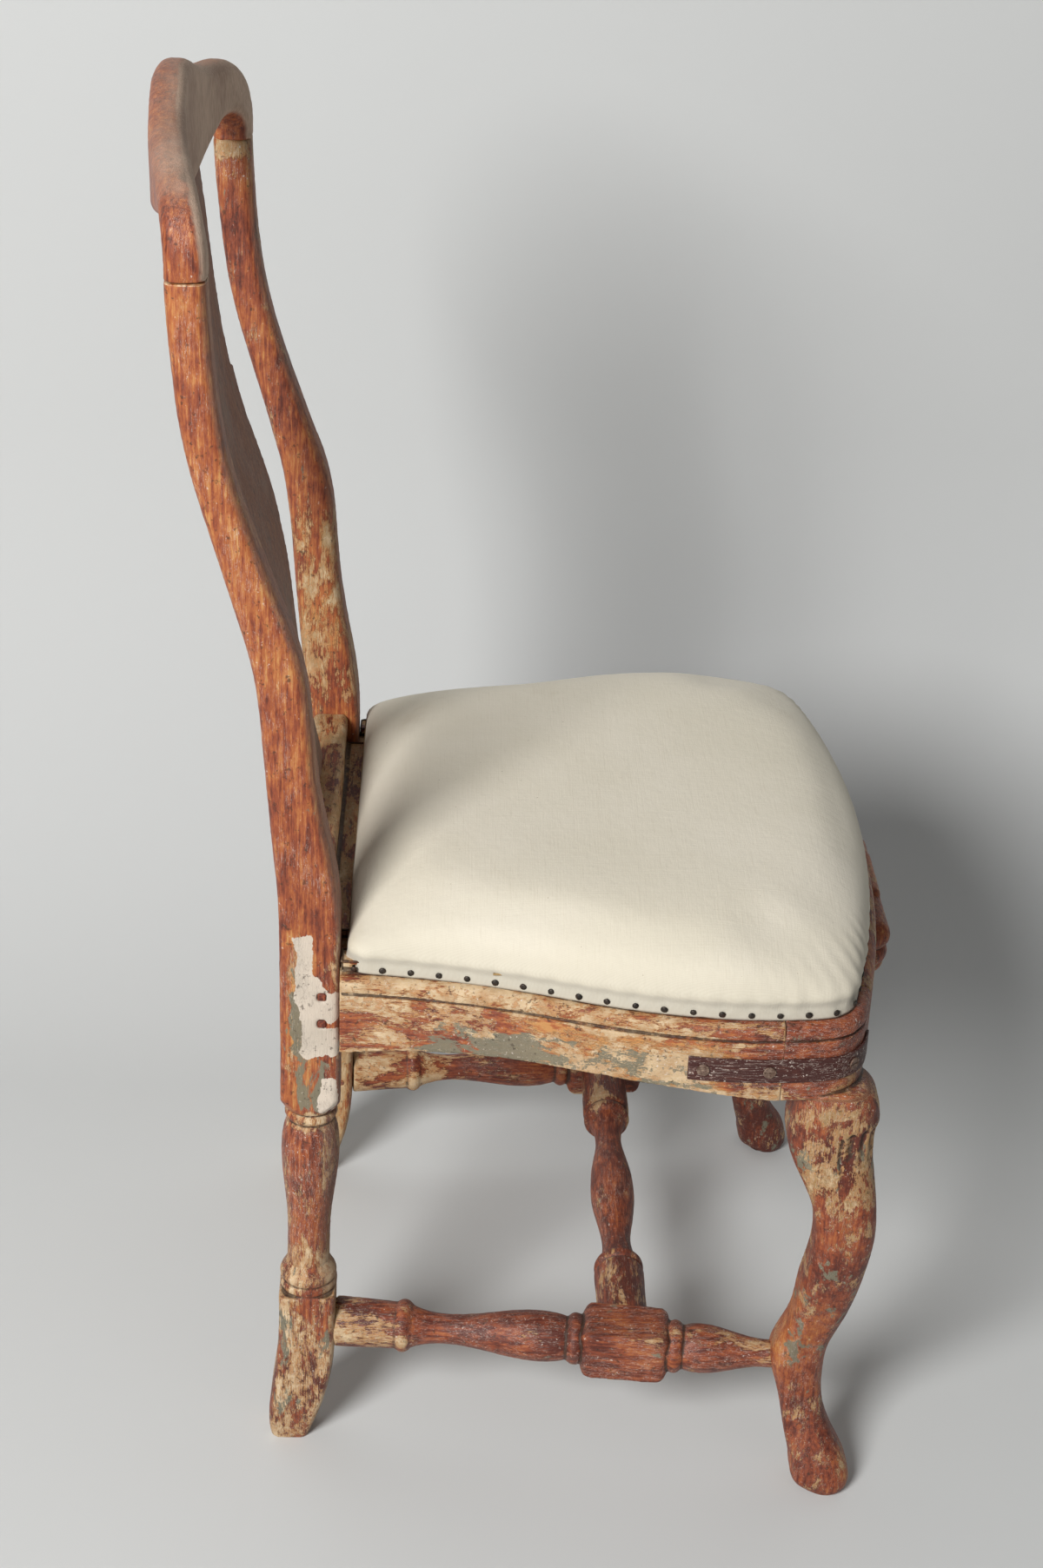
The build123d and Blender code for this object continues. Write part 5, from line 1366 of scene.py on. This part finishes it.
def hessian_sheet():
    """Rings of quads from the CAD outline to the middle, as one thin rippled sheet."""
    work = welded(NODES["base_hessian"].data)
    outline = sorted({(round(v.co.x, 5), round(v.co.y, 5)) for v in work.verts},
                     key=lambda p: math.atan2(p[1] - SEAT_CENTRE_Y, p[0]))
    work.free()
    low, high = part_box("base_hessian")
    level = (low.z + high.z) / 2
    middle = np.array((0.0, SEAT_CENTRE_Y))
    made = bmesh.new()
    rows = []
    for ring in range(1, HESSIAN_RINGS + 1):
        share = ring / HESSIAN_RINGS
        row = []
        for x, y in outline:
            flat = middle + (np.array((x, y)) - middle) * share
            row.append(made.verts.new((flat[0], flat[1], level)))
        rows.append(row)
    centre = made.verts.new((0.0, SEAT_CENTRE_Y, level))
    for k in range(len(outline)):
        m = (k + 1) % len(outline)
        made.faces.new((centre, rows[0][k], rows[0][m]))
        for inner, outer in zip(rows, rows[1:]):
            made.faces.new((inner[k], outer[k], outer[m], inner[m]))
    bmesh.ops.recalc_face_normals(made, faces=made.faces)
    result = mesh_from(made, "base_hessian_cloth")
    points = points_of(result)
    points[:, 2] += HESSIAN_RIPPLE * lump_noise(points, 90, 41)
    set_points(result, points)
    shade_smooth(result)
    piece = new_object("base_hessian_cloth", result)
    thick = piece.modifiers.new("cloth thickness", "SOLIDIFY")
    thick.thickness = HESSIAN_THICKNESS
    thick.offset = 0.0
    return piece


hessian = hessian_sheet()
hessian_jute = jute_material("hessian_jute", HESSIAN_WEAVE, srgb(190, 160, 112), srgb(152, 122, 80))
hessian.data.materials.append(hessian_jute)
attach(hessian, "root")
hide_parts("base_hessian")

# %% [markdown]
# ## Tacks
# Small forged tacks hold the cover's margin, dark against the cotton. Copies of one round head would
# look machine-made, so each is a low dome of uneven facets, as a hammer leaves it, set where the CAD
# tack is and facing the same way.

# %% Tack heads
TACK_SIDES = 10
SHANK_RADIUS = 0.0007
TACK_PROFILE = (
    (SHANK_RADIUS, -0.0050),
    (SHANK_RADIUS, 0.0),
    (0.0021, 0.0),
    (0.0022, 0.00035),
    (0.0017, 0.0008),
    (0.0009, 0.00105),
)


def iron_material(name, light, dark, rough):
    """Dull iron with specks of rust."""
    n = Nodes(name)
    tone = n.noise(n.place, 420.0, 4, 0.6)
    rust = n.step(n.noise(n.place, 150.0, 5, 0.6), 0.5, 0.7)
    colour = n.mix(n.step(tone, 0.3, 0.7), dark, light)
    colour = n.mix(n.times(rust, 0.6), colour, srgb(86, 54, 38))
    n.feed(n.shader.inputs["Base Color"], colour)
    n.shader.inputs["Metallic"].default_value = 0.55
    n.shader.inputs["Roughness"].default_value = rough
    n.feed(n.shader.inputs["Normal"], n.bump(tone, 0.0002))
    return n.material


def tack_heads(name, node, poses, seed):
    """Domed heads with short shanks, one for each CAD tack."""
    work = bmesh.new()
    dice = np.random.RandomState(seed)
    for place, facing in poses:
        frame_turn = facing.to_track_quat("Z", "Y").to_matrix().to_4x4()
        turn = Matrix.Rotation(dice.uniform(0, 6.28), 4, "Z")
        lean = Matrix.Rotation(dice.uniform(-0.10, 0.10), 4, "X")
        size = dice.uniform(0.92, 1.12)
        rows = []
        for radius, height in TACK_PROFILE:
            row = []
            for k in range(TACK_SIDES):
                angle = 2 * math.pi * k / TACK_SIDES
                uneven = 1 + (dice.uniform(-0.08, 0.08) if radius > SHANK_RADIUS else 0)
                spot = Vector((math.cos(angle), math.sin(angle), 0)) * radius * uneven * size
                spot.z = height
                row.append(work.verts.new(Matrix.Translation(place) @ frame_turn @ turn @ lean @ spot))
            rows.append(row)
        join_rings(work, rows)
        work.faces.new(rows[-1])
        work.faces.new(list(reversed(rows[0])))
    mesh = mesh_from(work, name)
    shade_smooth(mesh)
    made = new_object(name, mesh)
    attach(made, "root")
    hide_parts(node)
    return made


TACK_IRON = iron_material("tack_iron", srgb(70, 62, 54), srgb(30, 26, 24), 0.5)
for name, node, poses, seed in (("cover_tack_heads", "cover_tacks", COVER_TACKS, 5),
                                ("webbing_tack_heads", "webbing_tacks", WEB_TACKS, 6)):
    piece = tack_heads(name, node, poses, seed)
    piece.data.materials.append(TACK_IRON)
    print(piece.name, len(poses), "tacks")

# %% [markdown]
# ## The mending strap
# An iron strap was bent round the near front corner and painted over with the chair. It keeps the CAD
# shape with hammered edges, and the same paint stack gives it a darker coat with chalky scratches.
# The slotted screws are worn back to iron.

# %% Strap and screws
STRAP_VOXEL = 0.0006
SCREW_VOXEL = 0.0003
strap = worn_copy("corner_mending_strap", voxel=STRAP_VOXEL, wave=0.00012,
                  fine=0.00008, loss=0.0003, rounds=3)
strap_paint = worn_paint("strap_paint", grain="Y", tone=-0.1, cream=-0.3, green=-0.3, chalk=0.16,
                         gloss=0.45, rub=0.0, dark=0.85, scores=4.0, seed=21.0)
strap.data.materials.append(strap_paint)
screws = worn_copy("strap_screws", voxel=SCREW_VOXEL, wave=0.00004, fine=0.00003,
                   loss=0.0001, rounds=2)
screws.data.materials.append(iron_material("screw_iron", srgb(150, 128, 112), srgb(84, 58, 48), 0.5))
print(strap.name, len(strap.data.polygons), screws.name, len(screws.data.polygons))

# %% [markdown]
